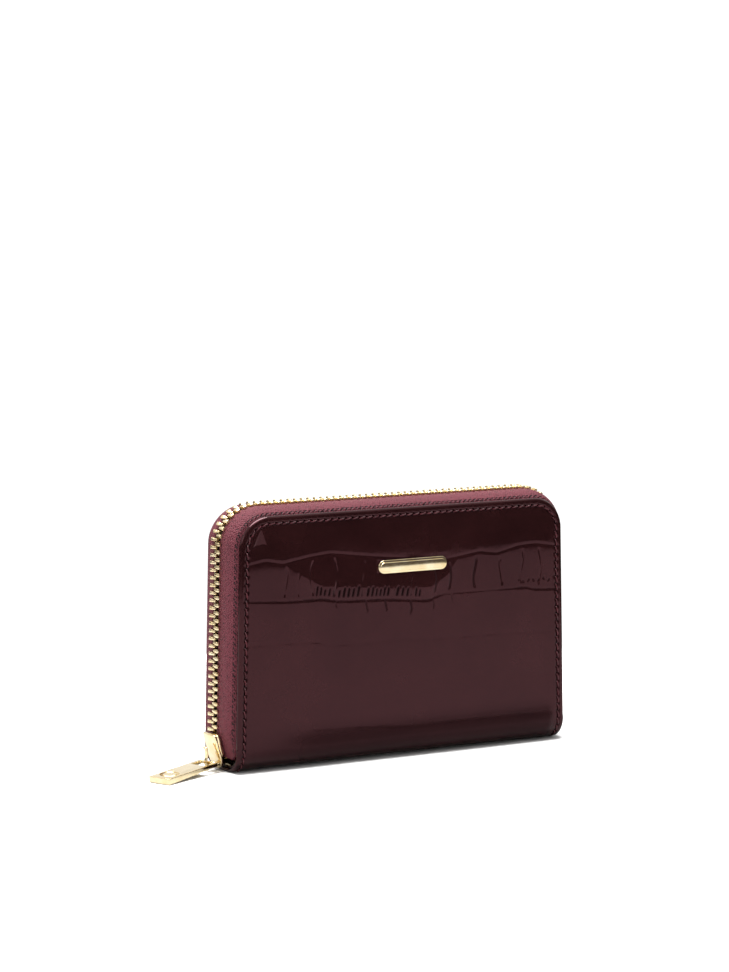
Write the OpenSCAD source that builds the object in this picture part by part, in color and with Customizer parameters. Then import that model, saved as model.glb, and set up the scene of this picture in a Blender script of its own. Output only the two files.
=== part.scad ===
// Medium zip-around wallet: one leather cover folded round a soft spine, a metal
// zip on three sides, two card panels, accordion gussets and a zipped coin pocket.
// Frame: X along the width, -Y towards the front cover, +Z up, origin in the middle
// of the spine's flat underside. Millimetres.

/* [Cover] */
// Width of the cover at the spine
cover_w_bottom = 130; // [126:1:140]
// Width of the cover at the top edge
cover_w_top = 126; // [122:1:136]
// Height of the closed cover
cover_h = 86; // [84:1:96]
// Thickness of the closed wallet between the outer leather faces
cover_d = 24.4; // [24.4:0.2:30]
// Radius of the two top corners of each cover
corner_r = 11; // [9:0.5:14]
// Radius of the folds between spine and covers
spine_r = 8; // [7:0.5:9]
// Thickness of the outer leather
leather_t = 1.1; // [0.9:0.1:1.2]
// Width of the turned-in leather edge
turn_in = 2.6; // [2:0.1:3.5]

/* [Main zip] */
// Distance that the zip chain stands out beyond the cover's edge
chain_out = 2.3; // [2.2:0.1:4]
// Distance between neighbouring teeth on one tape
tooth_pitch = 2.55; // [2.4:0.05:3]
// Length of a tooth along the tape
tooth_t = 1.1; // [0.8:0.05:1.2]
// Tilt of the chain's lower end and of the slider on it, in degrees
slider_tilt = 16; // [0:1:18]

/* [Pull tab] */
// Length of the pull tab from its bar to its tip
pull_l = 26.3; // [22:0.1:32]
// Width of the pull tab
pull_w = 8.7; // [8.2:0.1:10]
// Thickness of the pull tab at its tip
pull_t = 2.1; // [1.6:0.1:2.2]
// Turn of the pull tab towards the front cover, in degrees
pull_yaw = 24.5; // [0:0.5:24.5]

/* [Inside] */
// Width of the card slips
slip_w = 95; // [92:1:96]
// Height of the tallest card slip's top edge above the floor
slip_top = 71; // [64:1:74]
// Step between one card slip's top edge and the next
slip_step = 11; // [8:1:13]
// Height of the coin pocket's zip above the floor
coin_z = 68; // [60:1:69]
// Width of the coin pocket
coin_w = 112; // [104:1:112]

/* [Hidden] */
$fn = 48;

// Colours
patent = "#3a1216";
tape_red = "#7d3644";
gold = "#e0c070";
thread_red = "#4d0f18";
lining_red = "#5a1f2a";
board_grey = "#8a8178";

// Layers, as distances from the middle plane towards a cover
d_face = cover_d / 2;                 // outer leather face
board_t = 0.9;
d_board = d_face - leather_t;         // outer face of the board
d_rim = d_board - board_t;            // inner face of the turned-in edge
tape_t = 0.5;
d_tape = d_rim - tape_t;              // inner face of the sewn tape edge
panel_t = 0.5;
d_panel = d_tape - panel_t;           // inner face of the lining panel
slip_t = 0.45;
slip_count = 4;
lining_t = 0.5;

// Outline of a cover: leaning sides, round top corners
side_lean = atan((cover_w_bottom - cover_w_top) / 2 / cover_h);
corner_z = cover_h - corner_r;
corner_sweep = 90 - side_lean;
flat_half = d_face - spine_r;         // half of the spine's flat underside
hinge_d = flat_half;
hinge_z = spine_r;
fold_start = 40;                      // arc of the rigid spine, from straight down
fold_gap = 1;
stitch_in = 2.5;
stitch_pitch = 2.65;

function side_x(z, off = 0) = cover_w_bottom / 2 - tan(side_lean) * z + off / cos(side_lean);
corner_x = side_x(corner_z, -corner_r);
spine_half_w = side_x(spine_r);

// Path round a cover's three free edges, at distance off outside its outline,
// from the left bottom (height z0) over the top to the right bottom
function side_len(off, z0) = (corner_z + (corner_r + off) * sin(side_lean) - z0) / cos(side_lean);
function arc_len(off) = (corner_r + off) * corner_sweep * PI / 180;
function path_len(off, z0) = 2 * side_len(off, z0) + 2 * arc_len(off) + 2 * corner_x;
function arc_point(side, polar, off) =
    [side * corner_x + (corner_r + off) * cos(polar), corner_z + (corner_r + off) * sin(polar)];
// [x, z, direction in degrees] at length s along the path
function path_at(s, off, z0) =
    let (a = side_len(off, z0), b = a + arc_len(off), c = b + 2 * corner_x, e = c + arc_len(off))
    s < a ? [-side_x(z0, off) + s * sin(side_lean), z0 + s * cos(side_lean), corner_sweep]
    : s < b ? let (polar = 180 - side_lean - (s - a) / (corner_r + off) * 180 / PI)
        concat(arc_point(-1, polar, off), polar - 90)
    : s < c ? [s - b - corner_x, cover_h + off, 0]
    : s < e ? let (polar = 90 - (s - c) / (corner_r + off) * 180 / PI)
        concat(arc_point(1, polar, off), polar - 90)
    : let (t = path_len(off, z0) - s)
        [side_x(z0, off) - t * sin(side_lean), z0 + t * cos(side_lean), -corner_sweep];

// ---- Frames ----
// A cover is drawn flat: x across, y up, z from the middle plane towards the cover
module front_half() { rotate([90, 0, 0]) children(); }
module rear_half() { mirror([0, 1, 0]) front_half() children(); }
// Local frame on the path: x along, y outwards, z towards the cover
module on_path(s, off, z0) {
    p = path_at(s, off, z0);
    translate([p[0], p[1]]) rotate(p[2]) children();
}
module layer(from, to) { translate([0, 0, from]) linear_extrude(to - from) children(); }
// Extrudes a profile drawn as [outwards, depth] along x
module run(length) { rotate([90, 0, 90]) linear_extrude(length) children(); }

// Stations round the two corners: [x, height, direction of the outward normal]
arc_steps = 18;
corner_stations = [
    for (side = [-1, 1], i = [0 : arc_steps])
        let (turn = corner_sweep * (side < 0 ? i : arc_steps - i) / arc_steps,
             polar = side < 0 ? 180 - side_lean - turn : side_lean + turn)
        concat(arc_point(side, polar, 0), polar)
];
function side_station(side, z) = [side * side_x(z), z, side < 0 ? 180 - side_lean : side_lean];
function beyond(st, off) = [st[0] + off * cos(st[2]), st[1] + off * sin(st[2])];

module cover_outline(off, z0) {
    polygon(concat(
        [[-side_x(z0, off), z0]], [for (st = corner_stations) beyond(st, off)],
        [[side_x(z0, off), z0]]
    ));
}

// Closed band through the stations with a [outwards, depth] profile. Its points go out
// along one side of a strip and back along the other, anticlockwise, in equal numbers
module sweep_edge(stations, profile) {
    m = len(profile);
    last = len(stations) - 1;
    end_quads = [for (j = [0 : m / 2 - 2]) [j, j + 1, m - 2 - j, m - 1 - j]];
    polyhedron(
        points = [for (st = stations, q = profile) concat(beyond(st, q[0]), q[1])],
        faces = concat(
            end_quads,
            [for (quad = end_quads) [for (j = [3 : -1 : 0]) last * m + quad[j]]],
            [for (k = [0 : last - 1], j = [0 : m - 1])
                let (next = (j + 1) % m)
                [k * m + j, (k + 1) * m + j, (k + 1) * m + next, k * m + next]]
        )
    );
}

// Slice of a ring round the point [hinge_d, hinge_z], in a plane drawn as [depth, height];
// angles from straight down towards the cover
module fold_2d(r_in, r_out, from, to) {
    reach = 2 * r_out;
    translate([hinge_d, hinge_z]) intersection() {
        difference() {
            circle(r_out);
            circle(r_in);
        }
        polygon(concat(
            [[0, 0]],
            [for (turn = [from, (from + to) / 2, to]) reach * [sin(turn), -cos(turn)]]
        ));
    }
}
// Extrudes a profile drawn as [y, height] across the wallet's width
module across_width(half_w) {
    translate([-half_w, 0, 0]) rotate([90, 0, 90]) linear_extrude(2 * half_w) children();
}

// ---- Spine ----
module spine_shell(r_out, thick, half_w) {
    across_width(half_w) union() {
        translate([-flat_half - 0.01, spine_r - r_out]) square([2 * flat_half + 0.02, thick]);
        for (side = [0, 1]) mirror([side, 0]) fold_2d(r_out - thick, r_out, 0, fold_start);
    }
}
module spine_leather() { color(patent) spine_shell(spine_r, leather_t, spine_half_w); }
module spine_lining() {
    color(lining_red) spine_shell(spine_r - leather_t, lining_t, spine_half_w - turn_in);
}
module spine_fold() {
    color(patent) across_width(spine_half_w)
        mirror([1, 0]) fold_2d(spine_r - leather_t, spine_r, fold_start + fold_gap, 90 - fold_gap);
}
module front_spine_fold() { spine_fold(); }
module rear_spine_fold() { rotate(180) spine_fold(); }

// Leather plug that closes the end of the spine under the zip
end_tab_l = 3.6;
end_tab_r = 3.4;
end_tab_x = 58.6;
module end_tab(side) {
    floor_z = leather_t + lining_t;
    color(patent) translate([side * end_tab_x - end_tab_l / 2, 0, 0])
        intersection() {
            translate([0, 0, 4.8]) rotate([0, 90, 0]) cylinder(r = end_tab_r, h = end_tab_l);
            translate([0, -end_tab_r, floor_z]) cube([end_tab_l, 2 * end_tab_r, 8]);
        }
}
module left_end_tab() { end_tab(-1); }
module right_end_tab() { end_tab(1); }

// ---- Covers ----
module leather_shell() {
    color(patent) difference() {
        layer(d_rim, d_face) cover_outline(0, spine_r);
        layer(d_rim - 1, d_board) cover_outline(-turn_in, spine_r - 3);
    }
}
module board() {
    color(board_grey) layer(d_rim, d_board) cover_outline(-turn_in - 0.1, spine_r + 1);
}
module inner_panel() {
    color(lining_red) layer(d_panel, d_tape) cover_outline(-1, spine_r + 2);
}
module stitching() {
    stitch_l = 1.9;
    z0 = spine_r + 3;
    count = floor(path_len(-stitch_in, z0) / stitch_pitch);
    color(thread_red) for (i = [0 : count - 1])
        on_path((i + 0.5) * stitch_pitch, -stitch_in, z0)
            translate([-stitch_l / 2, -0.25, d_face]) cube([stitch_l, 0.5, 0.22]);
}
// Card slip k hangs from the lining panel; each next one is lower and nearer the middle
module card_slip(k) {
    top = slip_top - (k - 1) * slip_step;
    color(lining_red) layer(d_panel - k * slip_t, d_panel - (k - 1) * slip_t)
        translate([-slip_w / 2, spine_r + 3]) square([slip_w, top - spine_r - 3]);
}

// ---- Badge: plain bar held by two pins pressed through the leather ----
badge_w = 27;
badge_h = 4.6;
badge_t = 1.0;
badge_x = 2.4;
badge_z = 66.2;
badge_pin_r = 0.55;
module badge() {
    color(gold) translate([badge_x, badge_z, 0]) {
        translate([0, 0, d_face]) intersection() {
            translate([-badge_w / 2, -badge_h / 2]) cube([badge_w, badge_h, badge_t]);
            translate([0, 0, -0.1]) linear_extrude(badge_t + 0.2) union() {
                square([badge_w - badge_h, badge_h], center = true);
                for (side = [-1, 1]) translate([side * (badge_w - badge_h) / 2, 0])
                    circle(badge_h / 2);
            }
        }
        for (side = [-1, 1]) translate([side * badge_w / 3, 0, d_board - 0.4])
            cylinder(r = badge_pin_r, h = d_face - d_board + 0.6);
    }
}

// ---- Main zip ----
zip_z0 = spine_r;                     // lower ends of the tapes
chain_half = 3.1;                     // half width of the closed chain
tooth_mesh = 0.45;                    // reach of a tooth past the middle plane
tooth_half_n = 1.35;                  // half height of a tooth's legs
bead_d = 1.75;                        // inner edge of the bead strip, inside the teeth
crest_d = 5.6;                        // where the bead strip ends and the tape slopes away
tape_root = 4.5;                      // width of the tape sewn under the leather edge
slider_top_z = 13.4;                  // the chain bends inwards below this height
tail_l = 4.6;                         // length of the bent end
tail_gap = 0.3;                       // extra room between the teeth at the bend
stop_l = 1.3;

// Sloping part of the tape, from the leather edge up to the bead strip
module zip_tape() {
    out = chain_out + tape_t / 2;
    in = chain_out - tape_t / 2;
    stations = concat([side_station(-1, zip_z0)], corner_stations, [side_station(1, zip_z0)]);
    color(tape_red) sweep_edge(stations, [
        [-tape_root, d_tape], [-0.1, d_tape], [in, crest_d], [out, crest_d],
        [0.15, d_rim], [-tape_root, d_rim],
    ]);
}

chain_s0 = (slider_top_z - zip_z0) / cos(side_lean);
chain_l = path_len(chain_out, zip_z0);
slider_top = path_at(chain_s0, chain_out, zip_z0);
// Frame on the chain at length s: x along, y outwards, z towards the cover
module on_chain(s) {
    if (s < chain_s0)
        translate([slider_top[0], slider_top[1]]) rotate(90 + slider_tilt)
            translate([s - chain_s0 - tail_gap, 0]) children();
    else
        on_path(s, chain_out, zip_z0) children();
}
// Station whose point at distance chain_out is the given one
function chain_station(x, z, polar) =
    [x - chain_out * cos(polar), z - chain_out * sin(polar), polar];
// Narrow strip in the tape's edge that carries the teeth
module zip_bead() {
    tail = tail_l + tail_gap + stop_l + 0.3;
    tail_polar = 180 + slider_tilt;
    stations = concat(
        [chain_station(slider_top[0] + tail * sin(slider_tilt),
                       slider_top[1] - tail * cos(slider_tilt), tail_polar)],
        [chain_station(slider_top[0], slider_top[1], (tail_polar + 180 - side_lean) / 2)],
        corner_stations, [side_station(1, zip_z0)]
    );
    in = chain_out - tape_t / 2;
    out = chain_out + tape_t / 2;
    color(tape_red) sweep_edge(stations,
        [[in, bead_d], [out, bead_d], [out, crest_d - 0.05], [in, crest_d - 0.05]]);
}
module tooth_profile(half_n, mesh, slot_d, outer_d) {
    head_n = half_n * 0.7;
    slot_n = tape_t / 2 + 0.05;
    polygon([
        [-half_n, outer_d], [-half_n, slot_d - 0.5], [-head_n, slot_d - 0.8], [-head_n, -mesh],
        [head_n, -mesh], [head_n, slot_d - 0.8], [half_n, slot_d - 0.5], [half_n, outer_d],
        [slot_n, outer_d], [slot_n, slot_d], [-slot_n, slot_d], [-slot_n, outer_d],
    ]);
}
teeth_from = chain_s0 - tail_l;
teeth_count = floor((chain_l - stop_l - 0.3 - teeth_from) / tooth_pitch - 0.5);
// Teeth of one tape and the stop at each of its ends
module zip_teeth(shift) {
    slot = bead_d - 0.05;
    color(gold) {
        for (i = [0 : teeth_count - 1])
            on_chain(teeth_from + (i + 0.5 + shift) * tooth_pitch)
                translate([-tooth_t / 2, 0, 0]) run(tooth_t)
                    tooth_profile(tooth_half_n, tooth_mesh, slot, chain_half);
        for (s = [teeth_from - stop_l, chain_l - stop_l - 0.1])
            on_chain(s) run(stop_l) tooth_profile(tooth_half_n, -0.1, slot, chain_half);
    }
}

// ---- Main slider ----
// Slider frame: x outwards from the chain, y across it, z along it, origin at the
// middle of the slider's lower end
slider_l = 12.4;
slider_half_w = 4.6;
slider_tail_w = 4.5;
slider_gap = 1.7;                     // half clear height between the plates
plate_t = 0.9;
slider_out = slider_gap + plate_t;
flange_in = 0.75;                     // half of the slot that the tapes run out through
flange_y = 3.8;
wedge_top = 4.6;
module main_slider_frame() {
    translate([slider_top[0], 0, slider_top[1]]) rotate([0, -slider_tilt, 0])
        rotate([0, 0, 180]) translate([0, 0, -slider_l]) children();
}
function slider_point(out, along) = [
    slider_top[0] - out * cos(slider_tilt) + (slider_l - along) * sin(slider_tilt), 0,
    slider_top[1] - out * sin(slider_tilt) - (slider_l - along) * cos(slider_tilt)
];
// Plate seen from outside: round nose at the low end, slightly narrower tail
module slider_plate(nose_w, tail_w, length) {
    intersection() {
        union() {
            translate([0, nose_w]) circle(nose_w);
            polygon([[-nose_w, nose_w], [nose_w, nose_w], [tail_w, length], [-tail_w, length]]);
        }
        translate([-nose_w, 0]) square([2 * nose_w, length]);
    }
}
// Extrudes a profile drawn as [across, along] outwards
module upright(from, to) {
    translate([from, 0, 0]) rotate([90, 0, 90]) linear_extrude(to - from) children();
}
module flange_2d() {
    intersection() {
        slider_plate(slider_half_w, slider_tail_w, slider_l);
        for (edge = [-1, 1])
            translate([edge > 0 ? flange_y : -slider_half_w, wedge_top])
                square([slider_half_w - flange_y, slider_l - wedge_top]);
    }
}
module main_slider_body() {
    color(gold) main_slider_frame() {
        for (from = [slider_gap, -slider_out])
            upright(from, from + plate_t) slider_plate(slider_half_w, slider_tail_w, slider_l);
        for (from = [flange_in, -slider_gap])
            upright(from, from + slider_gap - flange_in) flange_2d();
        // wedge between the plates that parts the teeth
        upright(-slider_out, slider_out)
            polygon([[-1.1, 0.6], [1.1, 0.6], [1.3, 2.4], [0, wedge_top], [-1.3, 2.4]]);
    }
}

// Crown: a hook fixed at the slider's low end, its free end just above the plate
crown_h = 4.65;
crown_w = 1.8;
crown_t = 0.95;
crown_from = 1.2;
crown_to = 9.2;
crown_gap = 0.4;
module arch_2d(from, to, height, thick) {
    bend = thick * 1.5;
    difference() {
        union() {
            translate([from, 0]) square([to - from, height - bend]);
            translate([from + bend, 0]) square([to - from - 2 * bend, height]);
            for (end = [from + bend, to - bend]) translate([end, height - bend]) circle(bend);
        }
        translate([from + thick, -1]) square([to - from - 2 * thick, height - thick + 1]);
    }
}
module main_slider_crown() {
    color(gold) main_slider_frame() translate([slider_out, -crown_w / 2, 0])
        rotate([90, 0, 90]) rotate([90, 0, 90]) linear_extrude(crown_w) difference() {
            arch_2d(crown_from, crown_to, crown_h, crown_t);
            translate([crown_to - crown_t - 0.5, -1]) square([crown_t + 1, 1 + crown_gap]);
        }
}

// ---- Main pull tab: reaches out from the crown's lower end, its tip near the floor ----
pull_bar_r = 0.6;
pull_bar = slider_point(slider_out + 2.5, crown_from + crown_t + pull_bar_r + 0.15);
pull_arm_l = 6;                       // length of the window that clears the crown
pull_arm_w = 1.5;
pull_pitch = asin((pull_bar[2] - pull_t / 2 - 0.1) / pull_l);
ring_r = 3.3;
// Wedge shaped plate along +X with a window and a bar across its thin end
module pull_plate(length, width, bar_r, tip_t, arm_l, arm_w) {
    difference() {
        translate([0, width / 2, 0]) rotate([90, 0, 0]) linear_extrude(width) polygon([
            [0, -bar_r], [length, -tip_t / 2], [length, tip_t / 2], [0, bar_r],
        ]);
        translate([-1, arm_w - width / 2, -tip_t]) cube([arm_l + 1, width - 2 * arm_w, 2 * tip_t]);
    }
    rotate([90, 0, 0]) cylinder(r = bar_r, h = width, center = true);
}
module main_pull_tab() {
    color(gold) translate(pull_bar) rotate(180 + pull_yaw) rotate([0, pull_pitch, 0])
        difference() {
            pull_plate(pull_l, pull_w, pull_bar_r, pull_t, pull_arm_l, pull_arm_w);
            // sunk ring near the tip
            translate([pull_l - ring_r - 2, 0, pull_t / 2 - 0.4]) difference() {
                cylinder(r = ring_r, h = 1);
                translate([0, 0, -1]) cylinder(r = ring_r - 0.9, h = 3);
            }
        }
}

// ---- Gussets: one V pleat of lining each, between a card panel and the coin pocket ----
gusset_z0 = spine_r + 1;
gusset_top = coin_z - 4;
module gusset() {
    wall = coin_half_t;
    fold_x = 48.9;
    fold_d = (d_panel + wall) / 2;
    edge_x = 58.8;
    coin_x = coin_w / 2;
    color(lining_red) translate([0, 0, gusset_z0]) linear_extrude(gusset_top - gusset_z0) polygon([
        [edge_x, -d_panel + 0.05], [edge_x - 1.2, -d_panel + 0.05], [fold_x, -fold_d],
        [coin_x - 1, -wall - 0.5], [coin_x - 1, -wall], [coin_x, -wall], [coin_x, -wall - 0.6],
        [fold_x + 1.3, -fold_d], [edge_x, -d_panel + 0.35],
    ]);
}
module right_front_gusset() { gusset(); }
module right_rear_gusset() { mirror([0, 1, 0]) gusset(); }
module left_front_gusset() { mirror([1, 0, 0]) gusset(); }
module left_rear_gusset() { rotate(180) gusset(); }

// ---- Coin pocket ----
coin_half_t = 2.7;
coin_wall_t = 0.6;
coin_floor = leather_t + lining_t;
module coin_wall() {
    color(lining_red) translate([-coin_w / 2, -coin_half_t, coin_floor])
        cube([coin_w, coin_wall_t, coin_z - coin_floor]);
}
module coin_pocket_front_wall() { coin_wall(); }
module coin_pocket_rear_wall() { mirror([0, 1, 0]) coin_wall(); }
module coin_pocket_side_seams() {
    in = coin_half_t - coin_wall_t;
    color(lining_red) for (side = [-1, 1])
        translate([side * (coin_w / 2 - 0.6) - 0.6, -in, coin_floor])
            cube([1.2, 2 * in, coin_z - coin_floor]);
}
coin_tape_t = 0.4;
coin_bead_d = 1.25;
coin_pitch = 2.0;
coin_tooth_t = 0.85;
coin_tooth_half = 1.0;
coin_chain_half = 1.9;
coin_teeth_from = -44;
coin_teeth_to = 50;
module coin_zip_tapes() {
    tape_l = coin_w - 4;
    color(tape_red) for (side = [-1, 1])
        translate([-tape_l / 2, side > 0 ? coin_bead_d : -coin_half_t, coin_z])
            cube([tape_l, coin_half_t - coin_bead_d, coin_tape_t]);
}
coin_mid_z = coin_z + coin_tape_t / 2;
module coin_zip_teeth() {
    count = floor((coin_teeth_to - coin_teeth_from) / coin_pitch);
    color(gold) for (row = [0, 1], i = [0 : count - 1]) mirror([0, row, 0])
        translate([coin_teeth_from + (i + row / 2) * coin_pitch, 0, coin_mid_z])
            rotate([90, 0, 0]) run(coin_tooth_t)
                tooth_profile(coin_tooth_half, 0.3, coin_bead_d - 0.05, coin_chain_half);
}
module coin_zip_stops() {
    color(gold) for (end = [0, 1], side = end ? [0] : [-1, 1])
        translate([end ? coin_teeth_to + 1.4 : -54.2, end ? -coin_chain_half : side * 1.6 - 0.35,
            coin_z + coin_tape_t]) cube([1.6, end ? 2 * coin_chain_half : 0.7, 0.6]);
}

coin_slider_x = -44.6;                // tail end of the slider, where the teeth begin
coin_slider_l = 7.6;
coin_gap = 1.3;
coin_plate_t = 0.7;
module coin_slider_body() {
    top = coin_mid_z + coin_gap;
    low = coin_mid_z - coin_gap - coin_plate_t;
    color(gold) translate([coin_slider_x - coin_slider_l, 0, 0]) {
        translate([0, 0, top]) linear_extrude(coin_plate_t) rotate(-90)
            slider_plate(3.2, 2.7, coin_slider_l);
        translate([0.4, -1.7, low]) cube([coin_slider_l - 0.4, 3.4, coin_plate_t]);
        translate([0.8, -0.7, low]) cube([1.8, 1.4, top - low + coin_plate_t]);
    }
}
coin_crown_h = 2.4;
coin_crown_t = 0.8;
module coin_slider_crown() {
    color(gold) translate([coin_slider_x - coin_slider_l, 0, coin_mid_z + coin_gap + coin_plate_t])
        rotate([90, 0, 0]) translate([0, 0, -0.7]) linear_extrude(1.4)
            arch_2d(1.4, 6.2, coin_crown_h, coin_crown_t);
}
coin_bar_r = 0.5;
coin_pull_l = 13.5;
coin_bar = [coin_slider_x - coin_slider_l + 4.75, 0, coin_mid_z + coin_gap + coin_plate_t + 0.75];
module coin_pull_tab() {
    color(gold) translate(coin_bar) pull_plate(coin_pull_l, 4.8, coin_bar_r, 1.0, 4.2, 1.3);
}

// ---- Nodes by cover ----
module front_leather() { front_half() leather_shell(); }
module rear_leather() { rear_half() leather_shell(); }
module front_board() { front_half() board(); }
module rear_board() { rear_half() board(); }
module front_stitching() { front_half() stitching(); }
module rear_stitching() { rear_half() stitching(); }
module front_zip_tape() { front_half() zip_tape(); }
module rear_zip_tape() { rear_half() zip_tape(); }
module front_zip_bead() { front_half() zip_bead(); }
module rear_zip_bead() { rear_half() zip_bead(); }
module front_zip_teeth() { front_half() zip_teeth(0); }
module rear_zip_teeth() { rear_half() zip_teeth(0.5); }
module front_inner_panel() { front_half() inner_panel(); }
module rear_inner_panel() { rear_half() inner_panel(); }
module badge_plate() { front_half() badge(); }

spine_leather();
spine_lining();
front_spine_fold();
rear_spine_fold();
coin_pocket_front_wall();
coin_pocket_rear_wall();
coin_pocket_side_seams();
coin_zip_tapes();
coin_zip_teeth();
coin_zip_stops();
left_front_gusset();
left_rear_gusset();
right_front_gusset();
right_rear_gusset();
left_end_tab();
right_end_tab();
front_leather();
front_board();
front_stitching();
front_zip_tape();
front_zip_bead();
front_zip_teeth();
front_inner_panel();
for (k = [1 : slip_count])
    front_half() card_slip(k);
badge_plate();
rear_leather();
rear_board();
rear_stitching();
rear_zip_tape();
rear_zip_bead();
rear_zip_teeth();
rear_inner_panel();
for (k = [1 : slip_count])
    rear_half() card_slip(k);
main_slider_body();
main_slider_crown();
main_pull_tab();
coin_slider_body();
coin_slider_crown();
coin_pull_tab();
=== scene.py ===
import math

import bmesh
import bpy
import numpy as np
from mathutils import Matrix, Vector


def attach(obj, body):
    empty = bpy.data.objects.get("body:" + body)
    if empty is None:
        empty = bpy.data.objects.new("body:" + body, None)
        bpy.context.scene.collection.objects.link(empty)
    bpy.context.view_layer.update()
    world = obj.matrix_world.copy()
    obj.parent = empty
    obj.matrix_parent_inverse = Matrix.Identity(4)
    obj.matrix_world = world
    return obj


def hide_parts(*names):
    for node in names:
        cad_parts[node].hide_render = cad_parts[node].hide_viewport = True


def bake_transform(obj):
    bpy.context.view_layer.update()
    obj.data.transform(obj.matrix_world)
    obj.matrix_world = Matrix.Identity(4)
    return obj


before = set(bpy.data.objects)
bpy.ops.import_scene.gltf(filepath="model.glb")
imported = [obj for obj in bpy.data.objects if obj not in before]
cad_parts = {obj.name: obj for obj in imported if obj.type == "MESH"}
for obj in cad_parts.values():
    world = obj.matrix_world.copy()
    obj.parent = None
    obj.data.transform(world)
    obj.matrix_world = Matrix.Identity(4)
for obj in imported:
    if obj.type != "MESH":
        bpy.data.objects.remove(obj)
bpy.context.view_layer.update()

# Everything below is in millimetres until add_mesh turns it into metres.
# Frame: X across the wallet, -Y towards the front cover, +Z up, the spine lies on z = 0.
MM = 0.001
FRONT, REAR = -1, 1

# ---- Sizes shared with the CAD source ----
W_BOTTOM, W_TOP, HEIGHT = 130.0, 126.0, 86.0
FACE = 12.2                    # outer leather face, from the middle plane
FOLD_R = 8.0
CORNER_R = 11.0
FLAT = FACE - FOLD_R           # half of the spine's flat underside, and the hinge's depth
LEAN = math.atan((W_BOTTOM - W_TOP) / 2 / HEIGHT)
CORNER_Z = HEIGHT - CORNER_R
SWEEP = math.pi / 2 - LEAN
CHAIN_OUT = 2.3
TOOTH_PITCH, TOOTH_T = 2.55, 1.1
SLIDER_TILT = math.radians(16)
SLIDER_TOP_Z, TAIL_L, TAIL_GAP, STOP_L = 13.4, 4.6, 0.3, 1.3
PANEL_D, SLIP_T, SLIP_W, SLIP_TOP, SLIP_STEP = 9.2, 0.45, 95.0, 71.0, 11.0
COIN_W, COIN_Z, COIN_HALF = 112.0, 68.0, 2.7


def side_x(z, off=0.0):
    """Half width of a cover at height z, off outside its outline."""
    return W_BOTTOM / 2 - math.tan(LEAN) * z + off / math.cos(LEAN)


CORNER_X = side_x(CORNER_Z, -CORNER_R)
SPINE_X = side_x(FOLD_R)


def side_len(off, z0):
    """Length of a cover's straight side from height z0 to the corner."""
    return (CORNER_Z + (CORNER_R + off) * math.sin(LEAN) - z0) / math.cos(LEAN)


def path_len(off, z0):
    """Length of the line round a cover's free edges, from z0 up and down to z0 again."""
    return 2 * side_len(off, z0) + 2 * (CORNER_R + off) * SWEEP + 2 * CORNER_X


def path_at(s, off, z0):
    """(x, z, direction) at length s along a cover's free edges, at off outside its outline."""
    a = side_len(off, z0)
    arc = (CORNER_R + off) * SWEEP
    total = path_len(off, z0)
    if s > total / 2:
        x, z, way = path_at(total - s, off, z0)
        return -x, z, -way
    if s < a:
        return -side_x(z0, off) + s * math.sin(LEAN), z0 + s * math.cos(LEAN), SWEEP
    if s < a + arc:
        polar = math.pi - LEAN - (s - a) / (CORNER_R + off)
        r = CORNER_R + off
        return -CORNER_X + r * math.cos(polar), CORNER_Z + r * math.sin(polar), polar - math.pi / 2
    return s - a - arc - CORNER_X, HEIGHT + off, 0.0


CHAIN_S0 = (SLIDER_TOP_Z - FOLD_R) / math.cos(LEAN)
CHAIN_L = path_len(CHAIN_OUT, FOLD_R)
SLIDER_X, SLIDER_Z, _ = path_at(CHAIN_S0, CHAIN_OUT, FOLD_R)


# ---- Shading ----
class Graph:
    """A node tree with short calls for adding and joining its nodes."""

    def __init__(self, tree):
        self.tree = tree

    def add(self, kind, **settings):
        node = self.tree.nodes.new(kind)
        for key, value in settings.items():
            setattr(node, key, value)
        return node

    def link(self, out, into):
        self.tree.links.new(out, into)

    def feed(self, value, socket):
        """Sets the socket to a number or colour, or links an output to it."""
        if isinstance(value, (int, float, tuple)):
            socket.default_value = value
        else:
            self.link(value, socket)

    def math(self, operation, a, b):
        node = self.add("ShaderNodeMath", operation=operation)
        for socket, value in zip(node.inputs, (a, b)):
            self.feed(value, socket)
        return node.outputs["Value"]

    def plus(self, base, part, share):
        """base + share x part."""
        return self.math("ADD", base, self.math("MULTIPLY", part, share))

    def axes(self, vector):
        parts = self.add("ShaderNodeSeparateXYZ")
        self.link(vector, parts.inputs["Vector"])
        return parts.outputs

    def ramp(self, fac, low, high, start=0.0, end=1.0):
        node = self.add("ShaderNodeValToRGB")
        first, last = node.color_ramp.elements
        first.position, last.position = start, end
        first.color, last.color = (*low, 1), (*high, 1)
        self.link(fac, node.inputs["Fac"])
        return node.outputs["Color"]


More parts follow.
